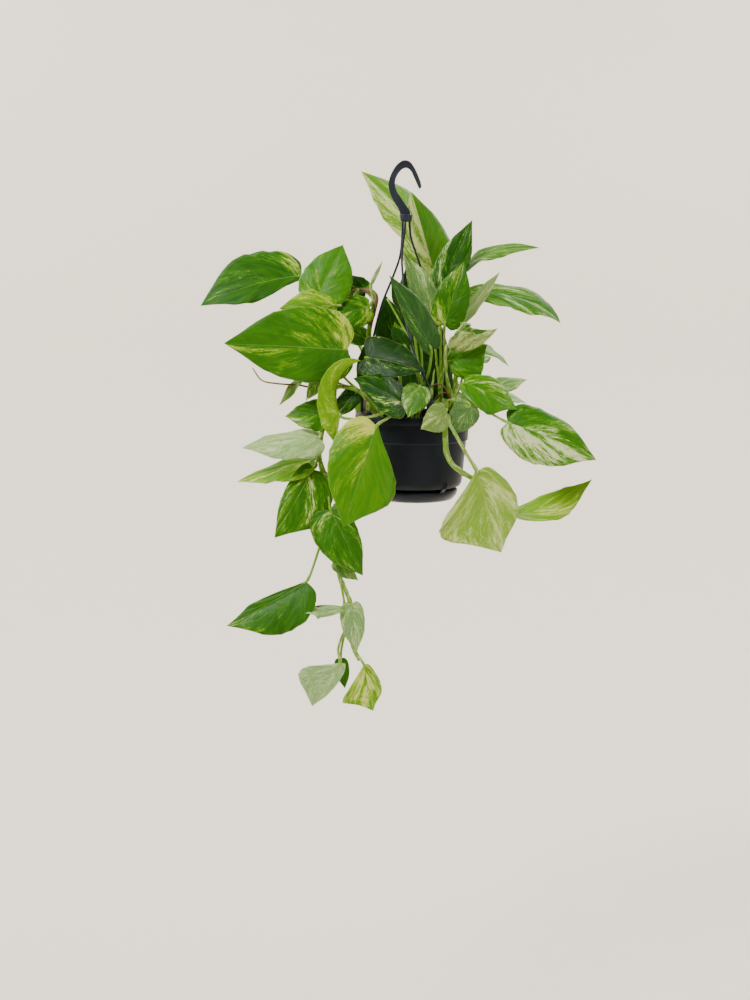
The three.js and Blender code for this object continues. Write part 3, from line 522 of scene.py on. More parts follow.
                  (0.2, -1, 0.2), (25, 13), 0.72, (0.4, 0.5), fold=(12, -70), sweep=(-0.5, 0),
                  mid=[(-92, -64, -272), (-84, -66, -230)], toward=(-0.25, -0.2), warm=0.8),
        ],
    ),
    dict(
        name="vine_left_trail", foot=(-38, -24),
        stem=[(-46, -29, -280), (-60, -31, -266), (-84, -29, -262), (-100, -31, -280), (-102, -34, -310),
              (-106, -34, -345), (-102, -34, -370), (-96, -36, -390), (-93, -38, -425), (-90, -39, -470),
              (-80, -40, -497), (-70, -42, -525), (-70, -43, -560), (-64, -45, -585), (-58, -46, -597)],
        shoots=[
            (0.22, 1.6, 0.75, [(-118, -16, -263), (-130, -12, -261), (-157, -12, -259), (-177, -10, -255),
             (-188, -10, -240)]),
            (0.2, 1.6, 0.75, [(-118, -20, -262), (-122, -16, -279)]),
        ],
        leaves=[
            blade(0.18, [(-79, -30, -244)], (-73, -38, -217), (-218, -58, -208), (0, -0.97, 0.2), (42, 50),
                  0.42, (-0.1, 0.2), bow=(8, 4), toward=(-0.1, -0.85), warm=0.95),
            blade(0.12, [], (-60, -22, -268), (-91, -26, -300), (-0.2, -1, 0.2), (12, 14), 0.25, (0.1, 0.1),
                  warm=0.5),
            blade(0.24, [], (-104, -26, -251), (-120, -28, -277), (0, -1, 0.2), (8, 10), 0.5, (0.4, 0.4),
                  bloom=0.2, warm=0.4),
            blade(0.2, [(-110, -14, -250)], (-130, -12, -254), (-156, -14, -286), (0.7, 0.2, 0.7), (7, 6),
                  0.5, (0.1, 0.1), bloom=0.2, warm=0.5),
            blade(0.3, [], (-94, -26, -297), (-148, -24, -298), (0, -0.8, 0.6), (22, 22), 0.42, (0.05, 0),
                  bow=(6, 4), toward=(0.6, 0.6), warm=0.4),
            blade(0.36, [], (-107, -38, -323), (-199, -50, -334), (0, -0.55, 0.83), (36, 18), 0.65,
                  (0.6, 0.6), bow=(6, 4), bloom=0.8, warm=0.15),
            blade(0.42, [], (-114, -28, -351), (-208, -20, -379), (0.1, -0.4, 0.9), (34, 14), 0.6,
                  (0.4, -0.1), bow=(6, 4), warm=0.9),
            blade(0.42, [(-110, -40, -354)], (-114, -46, -361), (-160, -60, -442), (0.1, -0.9, 0.2),
                  (42, 18), 0.4, (0.1, 0.3), bow=(4, 4), sweep=(0.2, 0), toward=(0, 0.1)),
            blade(0.45, [], (-94, -30, -381), (-106, -28, -425), (0, -1, 0), (9, 9), 0.5, (0.3, 0.3),
                  bloom=0.3),
            blade(0.5, [(-94, -52, -398)], (-92, -60, -408), (-53, -72, -486), (0, -1, 0.1), (20, 34), 0.38,
                  (0.1, 0.25), bow=(6, 8)),
            blade(0.64, [], (-87, -44, -475), (-59, -50, -496), (0, -0.8, 0.6), (10, 10), 0.45, (0.5, 0.4),
                  bloom=0.2, warm=0.4),
            blade(0.58, [(-108, -40, -462)], (-123, -50, -498), (-219, -62, -550), (0.1, -0.85, 0.5),
                  (44, 12), 0.36, (-0.5, -0.6), bow=(-2, -4), sweep=(0.1, 0.4), late=(0, 0.8),
                  toward=(1.15, 1.05), warm=0.75),
            blade(0.76, [], (-78, -50, -531), (-123, -68, -533), (0, -0.5, 0.85), (12, 12), 0.42,
                  (0.42, 0.42), sweep=(0.6, 0.6), bloom=0.6, warm=0.1),
            blade(0.78, [], (-67, -50, -526), (-61, -58, -584), (0, -1, 0.1), (14, 16), 0.45, (0.42, 0.42),
                  bloom=0.6, warm=0.1),
            blade(0.88, [(-84, -42, -585)], (-82, -44, -602), (-116, -54, -653), (0, -1, 0.1), (11, 47),
                  0.5, (0.55, 0.55), sweep=(0, 0.22), late=(0, 0.9), bloom=0.85, warm=0.1),
            # a filler leaf behind the trail: its dark green without cream is painted shade
            blade(0.86, [(-80, -36, -585)], (-81, -34, -599), (-76, -30, -637), (0, -1, 0.1), (9, 9), 0.36,
                  (-0.5, -0.5)),
            blade(0.97, [], (-52, -52, -602), (-41, -60, -657), (0, -1, 0.15), (16, 38), 0.62, (0.72, 0.7),
                  sweep=(0.35, 0.55), late=(0, 0.85), warm=0.7),
        ],
    ),
    dict(
        name="vine_back_left", foot=(-22, 34),
        stem=[(-26, 44, -288), (-34, 54, -270)],
        leaves=[
            blade(0.98, [(-50, 66, -235)], (-62, 76, -212), (-150, 120, -196), (0, 0.4, 0.9), (36, 34),
                  0.45, (0.3, 0.3), bow=(14, 10), warm=0.4),
            # a filler leaf inside the plant: its near-black green without cream is painted shade
            blade(0.85, [], (-38, 38, -270), (-50, 38, -208), (0, -1, 0.1), (20, 22), 0.15, (-0.5, -0.5),
                  warm=0.4),
            # a filler leaf inside the plant: its near-black green without cream is painted shade
            blade(0.5, [], (-22, 26, -284), (-27, 27, -222), (0, -1, 0.1), (16, 16), 0.12, (-0.5, -0.5)),
            blade(0.9, [(-30, 68, -262)], (-34, 84, -266), (-36, 124, -356), (-0.3, 0.8, 0.5), (30, 32),
                  0.5, (0.2, 0.4), bow=(12, 10), warm=0.5),
        ],
    ),
    dict(
        name="vine_back", foot=(8, 44),
        stem=[(8, 56, -286), (6, 70, -282), (4, 84, -290)],
        leaves=[
            # a filler leaf inside the plant: its near-black green without cream is painted shade
            blade(0.5, [(2, 50, -262)], (-8, 44, -232), (-26, 48, -152), (0, -1, 0.1), (24, 24), 0.2,
                  (-0.5, -0.5), warm=0.4),
            blade(0.75, [(12, 82, -264)], (19, 98, -244), (30, 186, -240), (0, 0.3, 0.95), (34, 36), 0.4,
                  (0.4, 0.2), bow=(16, 12), warm=0.4),
            blade(1, [(4, 94, -310)], (6, 98, -326), (2, 124, -392), (0.1, 1, 0.3), (28, 30), 0.55,
                  (0.3, 0.3), bow=(8, 8), warm=0.5),
        ],
    ),
    dict(
        name="vine_back_right", foot=(38, 44),
        stem=[(44, 52, -288), (50, 60, -272)],
        leaves=[
            blade(0.98, [(62, 70, -245)], (68, 80, -232), (100, 152, -236), (0.4, 0.3, 0.85), (32, 32), 0.4,
                  (0.15, 0.35), bow=(14, 10)),
            blade(0.9, [(54, 80, -268)], (54, 94, -276), (52, 132, -362), (0.4, 0.8, 0.5), (28, 28), 0.5,
                  (0.35, 0.2), bow=(10, 10), warm=0.4),
        ],
    ),
]

growth = {
    "bladeThick": 0.8,  # mm
    "edgeThins": 0.28,  # share of the thickness that each skin loses at the edge
    "faces": (30, 16),  # along a blade and across it
    "smallFaces": (20, 10),
    "smallHalf": 15,  # mm; a blade whose halves are no wider is small
    "endsFiner": 0.4,  # how far the rows crowd toward the blade's two ends
    "stemRadius": 2.6,
    "stemThins": 0.175,  # share of its radius that a stem loses from its middle to its end
    "soilTop": -309,
    "rootDepth": 34,
    "clearance": 0.3,  # between a stem's foot and its hole
    "upright": (3, 9),  # a stem stands upright to here above the soil
    "nodeSpacing": 34,  # mm of stem between swollen nodes
    "nodeSwells": (0.22, 4),  # by how much, and how far from the node in mm
    "cork": (0.1, 0.75, 0.85),  # a stem's own, the more at a node, and an old end's
    "stemCream": 0.3,
    "sheath": (0.9, 12),  # how much thicker a stalk starts, and over how many mm
    "knee": (0.25, 7, 13),  # how much thicker its knee is, and where, in mm from its end
    "stalkEnd": (0.25, 4),  # share of its radius there, and the mm in which it gains a whole one
    "sheathCork": (0.3, 6),  # at a stalk's start, and over how many mm it fades
    "stalkCream": (0.24, 0.2),  # a stalk's own, and the more for a creamy leaf
    "intoBlade": (-1.2, 5),  # mm from the blade's start: the stalk's last two points
    "shootThins": 0.5,  # to this share of its radius
    "airRoot": (1.1, 0.5),  # radius in mm at its start and its tip
    "step": 4,  # mm between rings
    "mapLength": 10,  # mm of stem to one unit of its map
}

# Edge of a flat leaf from its notch to its tip, with the point of the midrib each side vein leaves
leafEdge = [
    (0, 0, 0),
    (-0.06, 0.45, 0.005),
    (0.06, 0.9, 0.04),
    (0.32, 1, 0.18),
    (0.62, 0.79, 0.45),
    (0.88, 0.25, 0.8),
    (1, 0, 1),
]

# Relief of a blade, with heights in mm, widths as shares of a half blade and waves to a blade's length
relief = {
    "rib": (0.9, 0.09),  # depth and width
    "veins": (0.55, 2.6, 0.3),  # rise between them, waves, and how far they run forward
    "veinShift": 0.17,  # waves to a mm of a leaf's left half, so that leaves differ
    "fullHalf": 30,  # a narrower blade has less relief
    "wave": (2, 1.6, 0.3),  # height, waves, and shift between the halves
    "ripple": (4.3, 0.41),  # waves and shift
    "rippleHalf": 34,
    "uneven": (0.018, 1.3, 0.6, 2.9),  # share of the width, slow waves, and fast ones' share and waves
}


def smoothEdge(share):
    # The edge's three values at a share of the way from notch to tip, on a curve through its points
    last = len(leafEdge) - 1
    place = min(share, 1) * last
    i = min(int(place), last - 1)
    t = place - i
    p0, p1, p2, p3 = [leafEdge[min(max(k, 0), last)] for k in (i - 1, i, i + 1, i + 2)]
    return [
        0.5 * (2 * b + (c - a) * t + (2 * a - 5 * b + 4 * c - d) * t * t + (3 * b - a - 3 * c + d) * t ** 3)
        for a, b, c, d in zip(p0, p1, p2, p3)
    ]


def acrossOf(direction, along):
    # The part of a direction that stands square to another, at unit length
    return (direction - along * direction.dot(along)).normalized()


def midribOf(leaf):
    base, tip = Vector(leaf["at"]), Vector(leaf["tip"])
    chord = tip - base
    up = acrossOf(Vector(leaf["face"]), chord.normalized())
    bent = [base + chord / 3 + up * leaf["bow"][0], base + chord * 2 / 3 + up * leaf["bow"][1]]
    return base, *[Vector(point) for point in leaf["mid"] or bent], tip


def reliefOf(leaf, along, across):
    # The blade sinks along its midrib and rises a little between its side veins
    depth, width = relief["rib"]
    rise, waves, forward = relief["veins"]
    w = abs(across)
    fade = math.sin(math.pi * min(max(along, 0), 1)) * min(1, max(leaf["half"]) / relief["fullHalf"])
    rib = math.exp(-(w / width) ** 2)
    turns = waves * (along - forward * w) + relief["veinShift"] * leaf["half"][0]
    return fade * (rise * math.sin(2 * math.pi * turns) * w * (1 - w) * 4 - depth * rib)


def leafPoint(leaf, along, across):
    # The place on a leaf's middle layer, across from -1 to 1
    a, b, c, d = midribOf(leaf)
    side = 0 if across < 0 else 1
    half = leaf["half"][side]
    w = abs(across)
    share = along + leaf["sweep"][side] * w * w * (1 - along)
    t = min(max(share, 0), 1)
    place = a * (1 - t) ** 3 + b * 3 * t * (1 - t) ** 2 + c * 3 * t * t * (1 - t) + d * t ** 3
    ahead = ((b - a) * (1 - t) ** 2 + (c - b) * 2 * t * (1 - t) + (d - c) * t * t).normalized()
    place = place + ahead * (share - t) * (d - a).length
    normal = acrossOf(Vector(leaf["face"]), ahead)
    normal.rotate(Quaternion(ahead, math.radians(leaf["twist"] * (t - 0.5))))
    sideways = ahead.cross(normal)
    turn = math.radians(leaf["fold"][side] + leaf["curl"][side] * w)
    reach = half * w * (1 - leaf["late"][side] * (1 - t) ** 2)
    height, waves, shift = relief["wave"]
    wave = height * w * w * math.sin(2 * math.pi * (waves * along + shift * side) + leaf["half"][0])
    waves, shift = relief["ripple"]
    fine = 2 * math.pi * (waves * along + shift * side) + leaf["half"][1]
    ripple = min(1, half / relief["rippleHalf"]) * w * w * math.sin(fine)
    most, slow, lower, fast = relief["uneven"]
    uneven = 1 + most * w * (math.sin(slow * fine) + lower * math.sin(fast * fine + 1))
    out = math.copysign(reach, across) * math.cos(turn) * uneven
    lift = wave + ripple + reliefOf(leaf, along, across)
    return place + sideways * out + normal * (reach * math.sin(turn) + lift)


def paint(face, layers, material, places, leaf, seed):
    # Gives a face of a blade its material and, at each corner, its place on the leaf and the leaf's look.
    # Cream may differ between the halves, and grow toward the tip.
    face.material_index = material
    face.smooth = True
    right = sum(across for share, across in places) > 0
    cream, toward = leaf["cream"][right], leaf["toward"][right]
    for loop, (share, across) in zip(face.loops, places):
        loop[layers["map"]].uv = (share, 0.5 + 0.5 * across)
        loop[layers["look"]] = (leaf["tone"], cream + toward * (2 * share - 1), seed, leaf["bloom"])
        loop[layers["warm"]] = leaf["warm"]


def addBlade(shape, layers, leaf, seed):
    # A grid bent to the leaf's surface, doubled into an upper and an under skin and closed at its edge
    g = growth
    rows, columns = g["faces"] if max(leaf["half"]) > g["smallHalf"] else g["smallFaces"]
    verts = bmesh.ops.create_grid(shape, x_segments=rows, y_segments=columns, size=1)["verts"]
    faces = list({face for vert in verts for face in vert.link_faces})
    where = {}
    for vert in verts:
        share, across = (vert.co.x + 1) / 2, vert.co.y
        eased = 0.5 - 0.5 * math.cos(math.pi * share)
        share = (1 - g["endsFiner"]) * share + g["endsFiner"] * eased
        where[vert] = (share, across)
        edge, width, root = smoothEdge(share)
        vert.co = leafPoint(leaf, root + (edge - root) * abs(across), across * width) * mm
    for face in faces:
        face.normal_update()
    facing = sum((face.normal * face.calc_area() for face in faces), Vector())
    if facing.dot(Vector(leaf["face"])) < 0:
        bmesh.ops.reverse_faces(shape, faces=faces)
    for part in faces + verts:
        part.normal_update()
    normals = {vert: vert.normal.copy() for vert in verts}
    edges = list({edge for vert in verts for edge in vert.link_edges})
    double = bmesh.ops.duplicate(shape, geom=verts + edges + faces)
    twin = double["vert_map"]
    for vert in verts:
        thick = g["bladeThick"] * mm * (0.5 - g["edgeThins"] * where[vert][1] ** 2)
        where[twin[vert]] = where[vert]
        twin[vert].co = vert.co - normals[vert] * thick
        vert.co = vert.co + normals[vert] * thick
    under = [part for part in double["geom"] if isinstance(part, bmesh.types.BMFace)]
    bmesh.ops.reverse_faces(shape, faces=under)
    rims = [edge for face in faces + under for edge in face.edges if len(edge.link_faces) == 1]
    walls = bmesh.ops.bridge_loops(shape, edges=list(set(rims)))["faces"]
    for material, skin in ((0, faces), (1, under), (0, walls)):
        for face in skin:
            paint(face, layers, material, [where[loop.vert] for loop in face.loops], leaf, seed)
    bmesh.ops.remove_doubles(shape, verts=verts, dist=0.01 * mm)
    lower = [part for part in double["geom"] if isinstance(part, bmesh.types.BMVert) and part.is_valid]
    bmesh.ops.remove_doubles(shape, verts=lower, dist=0.01 * mm)


def smoothLine(points, step):
    # Points every step mm along a centripetal curve through the given ones
    points = [Vector(p) for p in points]
    ends = [points[0] * 2 - points[1], *points, points[-1] * 2 - points[-2]]
    line = []
    for p0, p1, p2, p3 in zip(ends, ends[1:], ends[2:], ends[3:]):
        t1 = max((p1 - p0).length, 1e-4) ** 0.5
        t2 = t1 + max((p2 - p1).length, 1e-4) ** 0.5
        t3 = t2 + max((p3 - p2).length, 1e-4) ** 0.5
        count = max(1, round((p2 - p1).length / step))
        for i in range(count):
            t = t1 + (t2 - t1) * i / count
            a1 = p0.lerp(p1, t / t1)
            a2 = p1.lerp(p2, (t - t1) / (t2 - t1))
            a3 = p2.lerp(p3, (t - t2) / (t3 - t2))
            b1 = a1.lerp(a2, t / t2)
            b2 = a2.lerp(a3, (t - t1) / (t3 - t1))
            line.append(b1.lerp(b2, (t - t1) / (t2 - t1)))
    return line + [points[-1]]


def lengthsOf(line):
    # How far along a line each of its points is
    lengths = [0]
    for a, b in zip(line, line[1:]):
        lengths.append(lengths[-1] + (b - a).length)
    return lengths


def pointAt(line, share):
    lengths = lengthsOf(line)
    goal = share * lengths[-1]
    for a, b, low, high in zip(line, line[1:], lengths, lengths[1:]):
        if goal <= high:
            return a.lerp(b, (goal - low) / (high - low))
    return line[-1]


def addTube(shape, layers, line, radiusAt, lookAt, seed, sides=10, material=2):
    # A circle extruded along a line; radiusAt and lookAt take how far along it is, in mm
    lengths = lengthsOf(line)
    up = Vector((0, 0, 1))
    spin = Quaternion()
    ring = bmesh.ops.create_circle(shape, segments=sides, radius=1)["verts"]
    corners = [vert.co.copy() for vert in ring]
    caps = [shape.faces.new(ring[::-1])]
    for i, (point, length) in enumerate(zip(line, lengths)):
        ahead = (line[min(i + 1, len(line) - 1)] - line[max(i - 1, 0)]).normalized()
        spin = (spin @ up).rotation_difference(ahead) @ spin
        if i:
            edges = [shape.edges.get((ring[k], ring[(k + 1) % sides])) for k in range(sides)]
            made = bmesh.ops.extrude_edge_only(shape, edges=edges)["geom"]
            fresh = [part for part in made if isinstance(part, bmesh.types.BMVert)]
            nextRing = []
            for vert in ring:
                others = [edge.other_vert(vert) for edge in vert.link_edges]
                nextRing.append(next(other for other in others if other in fresh))
            order = {vert: k for circle in (ring, nextRing) for k, vert in enumerate(circle)}
            for wall in (part for part in made if isinstance(part, bmesh.types.BMFace)):
                wall.smooth = True
                wall.material_index = material
                around = [order[loop.vert] for loop in wall.loops]
                seam = max(around) - min(around) > 1
                for loop, k in zip(wall.loops, around):
                    at = length if loop.vert in nextRing else lengths[i - 1]
                    turn = (sides if seam and k == 0 else k) / sides
                    loop[layers["map"]].uv = (at / growth["mapLength"], turn)
                    loop[layers["look"]] = (*lookAt(at), seed, 1)
            ring = nextRing
        radius = radiusAt(length)
        for vert, corner in zip(ring, corners):
            vert.co = (point + spin @ (corner * radius)) * mm
    caps.append(shape.faces.new(ring))
    for cap in caps:
        cap.material_index = material
        for loop in cap.loops:
            loop[layers["look"]] = (*lookAt(lengths[-1]), seed, 1)


def leafLayers(shape):
    # What the plant's materials read at each corner of a face
    return {
        "map": shape.loops.layers.uv.new("leafMap"),
        "look": shape.loops.layers.float_color.new("leafLook"),
        "warm": shape.loops.layers.float.new("leafWarm"),
    }


def addStem(shape, layers, row, seed):
    # Upright from its hole in the soil, then along its way, with swollen nodes; gives back its line
    g = growth
    top, depth, spacing = g["soilTop"], g["rootDepth"], g["nodeSpacing"]
    heights = (top - depth + g["clearance"], top - 0.5 * depth, *[top + up for up in g["upright"]])
    line = smoothLine([*[(*row["foot"], z) for z in heights], *row["stem"]], g["step"])
    total = lengthsOf(line)[-1]
    swells, nodeReach = g["nodeSwells"]
    smooth, corky, old = g["cork"]

    def swelling(at):
        # 1 at a node and 0 away from one; the buried foot has none
        away = abs((at + spacing / 2) % spacing - spacing / 2)
        return max(0, 1 - away / nodeReach) if at > depth else 0

    def radiusAt(at):
        thin = 1 - g["stemThins"] * max(0, 2 * at / total - 1)
        return row.get("thick", g["stemRadius"]) * thin * (1 + swells * swelling(at))

    def lookAt(at):
        # Cork and cream
        cork = old if at > row.get("corkFrom", 1) * total else smooth + corky * swelling(at)
        return cork, g["stemCream"]

    addTube(shape, layers, line, radiusAt, lookAt, seed, 12)
    return line


def addStalk(shape, layers, stem, leaf, seed):
    # From a sheath that clasps the stem to a knee, and into the blade
    g = growth
    base = Vector(leaf["at"])
    inward = (leafPoint(leaf, 0.08, 0) - base).normalized()
    ends = [base + inward * away for away in g["intoBlade"]]
    line = smoothLine([pointAt(stem, leaf["start"]), *leaf["via"], *ends], g["step"])
    reach = lengthsOf(line)[-1]
    cream, creamier = g["stalkCream"]
    cream += creamier * max(0, *leaf["cream"])

    def radiusAt(at):
        thicker, sheathLength = g["sheath"]
        knee, kneeEnd, kneeStart = g["knee"]
        least, gain = g["stalkEnd"]
        flare = thicker * max(0, 1 - at / sheathLength) + (knee if kneeEnd < reach - at < kneeStart else 0)
        return leaf["stalk"] * (1 + flare) * min(1, (reach - at) / gain + least)

    def lookAt(at):
        cork, fades = g["sheathCork"]
        return cork * max(0, 1 - at / fades), cream

    addTube(shape, layers, line, radiusAt, lookAt, seed)


def addShoot(shape, layers, stem, start, way, radii, look, seed):
    # A bare shoot or root that leaves the stem and thins evenly
    line = smoothLine([pointAt(stem, start), *way], growth["step"])
    reach = lengthsOf(line)[-1]
    first, last = radii
    addTube(shape, layers, line, lambda at: first + (last - first) * at / reach, lambda at: look, seed)


def growVine(row, number):
    # One piece: a stem with its stalks, blades, bare shoots and roots
    shape = bmesh.new()
    layers = leafLayers(shape)
    stem = addStem(shape, layers, row, number / 17)
    for k, leaf in enumerate(row["leaves"]):
        seed = ((number * 7 + k * 3) % 29) / 29  # scatters the leaves' own places in the patterns
        addStalk(shape, layers, stem, leaf, seed)
        addBlade(shape, layers, leaf, seed)
    for k, (start, radius, cork, way) in enumerate(row.get("shoots", [])):
        radii, look = (radius, radius * growth["shootThins"]), (cork, growth["stemCream"])
        addShoot(shape, layers, stem, start, way, radii, look, k / 5)
    for start, way in row.get("airRoots", []):
        addShoot(shape, layers, stem, start, way, growth["airRoot"], (1, 0), start)
    makePiece(row["name"] + "Grown", shape, leafMaterials, row["name"])


for number, row in enumerate(vines):
    growVine(row, number)
print("leafy stems grown:", len(vines))


# Pot and saucer: polypropylene, injection moulded in a lightly textured tool. It gives the eye a deep
# charcoal with a broad soft highlight and a little dust.
potLook = {"colour": "#060a12", "dust": "#171c24", "sheen": "#d0d9e8", "roughness": 0.5, "grain": 0.5}
saucerLook = {"colour": "#14181f", "dust": "#2a2f37", "sheen": "#d0d9e8", "roughness": 0.42, "grain": 0.5}

# Hook and strands: unfilled polypropylene in a smoother tool, greyer and a little glossier
hangerLook = {"colour": "#262931", "dust": "#40434b", "sheen": "#e0e6f0", "roughness": 0.34, "grain": 0.4}

plasticLook = {
    "clouds": 0.028,  # of dust, to a mm
    "dustAt": (0.5, 0.8, 0, 0.35),  # from and to which part of a cloud it shows, and how much
    "roughness": (0.3, 0.7, -0.06, 0.1),  # the same for how much rougher the cloud is
    "bump": (0.12, 0.1),  # strength, and height in mm; the grain itself is in mm
    "ior": 1.42,
}


def mouldedPlastic(name, look):
    p = plasticLook
    material, tree = newMaterial(name)
    object3d = addNode(tree, "TexCoord").outputs["Object"]
    grain = addNode(tree, "TexNoise", {"Vector": object3d, "Scale": 1 / (look["grain"] * mm), "Detail": 3})
    clouds = addNode(tree, "TexNoise", {"Vector": object3d, "Scale": p["clouds"] / mm, "Detail": 5})
    dust = addNode(tree, "MapRange", [clouds, *p["dustAt"]], **soft)
    colour = addNode(tree, "Mix", {0: dust, 6: look["colour"], 7: look["dust"]}, **colours).outputs[2]
    low, high, smoother, rougher = p["roughness"]
    rough = addNode(tree, "MapRange", [
        clouds, low, high, look["roughness"] + smoother, look["roughness"] + rougher], **soft)
    skin = addSkin(tree, [(grain, p["bump"])], {
        "Base Color": colour, "Roughness": rough, "IOR": p["ior"], "Specular Tint": look["sheen"]})
    addNode(tree, "OutputMaterial", [skin])
    return material


# Pot: a 15 cm hanging pot, with its radii from its own axis. Its wall tapers, its neck ends in a small
# ledge, and its rim is hollow below.
potSize = {
    "axis": (12, 0),
    "wall": 1.8,
    "rimTop": -296,
    "rimRadius": 75,
    "rimHeight": 9,
    "neckRadius": 65.5,
    "neckHeight": 31,
    "bodyTopRadius": 62,
    "bodyFootRadius": 57,
    "footRadius": 50,
    "height": 90,
    "drains": (5, 30, 4, 8),  # how many, on what radius, how large, and how high their cutter is
    "clips": {"strand_back": 40, "strand_left": 160, "strand_front": 282},  # degrees round the pot
    "clipRing": 70,
    "clipSlot": (4.2, 8.6, 8),  # across the rim, along it, and high
    "tabs": (307, 37, 127, 217),  # degrees round the pot where the saucer's tabs go in
    "tabRing": 56.3,
    "tabSlot": (7.4, 7, 12.4),  # across the floor's edge, along it, and high
    "edge": 0.5,  # the mould's corner radius
    "segments": 144,
}

saucerSize = {
    "top": -389.4,
    "radius": 51.6,
    "footRadius": 43,
    "height": 12.6,
    "wall": 1.6,
    "tabWidth": 6.4,
    "edge": 0.3,
}

bevelAngle = 32  # degrees; edges that turn more are eased


def turnedShape(outline, segments, axis):
    # An outline of radius and height spun round an upright axis
    shape = bmesh.new()
    verts = [shape.verts.new((r * mm, 0, z * mm)) for r, z in outline]
    pairs = list(zip(verts, verts[1:])) + ([] if outline[0][0] == 0 else [(verts[-1], verts[0])])
    edges = [shape.edges.new(pair) for pair in pairs]
    bmesh.ops.spin(shape, geom=verts + edges, cent=(0, 0, 0), axis=(0, 0, 1), angle=2 * math.pi,
                   steps=segments, use_merge=True, use_duplicate=False)
    bmesh.ops.remove_doubles(shape, verts=shape.verts, dist=0.001 * mm)
    bmesh.ops.recalc_face_normals(shape, faces=shape.faces)
    bmesh.ops.translate(shape, verts=shape.verts, vec=(axis[0] * mm, axis[1] * mm, 0))
    for face in shape.faces:
        face.smooth = True
    return shape


def roundPot(turn):
    # The pot's own axes, turned by some degrees
    x, y = potSize["axis"]
    return Matrix.Translation((x * mm, y * mm, 0)) @ Matrix.Rotation(math.radians(turn), 4, "Z")


def addBox(shape, radius, low, size, turn):
    # A block on the pot's rim or floor: size is across it, along it, and high
    place = (roundPot(turn) @ Matrix.Translation((radius * mm, 0, (low + size[2] / 2) * mm))
             @ Matrix.Diagonal((*[side * mm for side in size], 1)))
    bmesh.ops.create_cube(shape, size=1, matrix=place)


def thicken(shape, corners, vec):
    # A flat face through the corners, given its thickness along vec
    face = shape.faces.new([shape.verts.new(corner) for corner in corners])
    made = bmesh.ops.extrude_face_region(shape, geom=[face])["geom"]
    far = [part for part in made if isinstance(part, bmesh.types.BMVert)]
    bmesh.ops.translate(shape, verts=far, vec=vec)
    bmesh.ops.recalc_face_normals(shape, faces=shape.faces)


def cutAway(piece, cutter):
    # Takes the cutter's volume out of a piece and throws the cutter away
    mesh = bpy.data.meshes.new("cutter")
    cutter.to_mesh(mesh)
    cutter.free()
    tool = bpy.data.objects.new("cutter", mesh)
    scene.collection.objects.link(tool)
    cut = piece.modifiers.new("cut", "BOOLEAN")
    cut.object = tool
    cut.solver = "EXACT"
    bpy.context.view_layer.update()
    whole = piece.evaluated_get(bpy.context.evaluated_depsgraph_get())
    result = bpy.data.meshes.new_from_object(whole)
    piece.modifiers.clear()
    piece.data = result
    bpy.data.objects.remove(tool)
    bpy.data.meshes.remove(mesh)


def easeEdges(piece, width, steps=2):
    bevel = piece.modifiers.new("mouldedEdges", "BEVEL")
    bevel.width = width * mm
    bevel.segments = steps
    bevel.limit_method = "ANGLE"
    bevel.angle_limit = math.radians(bevelAngle)
    bevel.harden_normals = True


potPlastic = mouldedPlastic("polypropyleneMoulded", potLook)
saucerPlastic = mouldedPlastic("polypropyleneSaucer", saucerLook)
hangerPlastic = mouldedPlastic("polypropyleneSmooth", hangerLook)


def makePot():
    p = potSize
    rimTop, bottom, ledge = p["rimTop"], p["rimTop"] - p["height"], p["rimTop"] - p["neckHeight"]
    neck, top, foot, rim = p["neckRadius"], p["bodyTopRadius"], p["bodyFootRadius"], p["rimRadius"]
    floorTop, hem = bottom + p["wall"], rimTop - p["rimHeight"]
    shape = turnedShape([
        (0, bottom), (p["footRadius"], bottom), (foot - 3, bottom + 1.2), (foot - 0.8, bottom + 4),
        (foot, bottom + 8), (foot + 0.8, bottom + 14), (top, ledge - 2.4), (top + 0.9, ledge - 1.6),
        (neck - 1.3, ledge - 0.6), (neck - 1.5, ledge + 0.4), (neck + 0.6, rimTop - p["wall"]),
        (rim - p["wall"], rimTop - p["wall"]), (rim - p["wall"] - 0.4, hem), (rim - 0.3, hem),
        (rim + 0.1, hem + 1), (rim, rimTop - 1.4), (rim - 0.4, rimTop - 0.5), (rim - 1.4, rimTop),
        (neck - 0.6, rimTop), (neck - 1.6, rimTop - 1.2), (neck - 3.6, ledge + 1),
        (top - p["wall"], ledge - 2.6), (foot - 1.2, bottom + 13), (foot - 1.8, bottom + 6),
        (foot - 4, floorTop), (0, floorTop),
    ], p["segments"], p["axis"])
    pot = makePiece("potTurned", shape, [potPlastic], "pot")
    cutter = bmesh.new()
    for turn in p["clips"].values():
        addBox(cutter, p["clipRing"], rimTop - 3, p["clipSlot"], turn)
    for turn in p["tabs"]:
        addBox(cutter, p["tabRing"], bottom - 4, p["tabSlot"], turn)
    count, ring, radius, high = p["drains"]
    for k in range(count):
        place = roundPot(90 + 360 * k / count) @ Vector((ring * mm, 0, bottom * mm))
        bmesh.ops.create_cone(cutter, cap_ends=True, segments=32, radius1=radius * mm, radius2=radius * mm,
                              depth=high * mm, matrix=Matrix.Translation(place))
    cutAway(pot, cutter)
    easeEdges(pot, p["edge"])


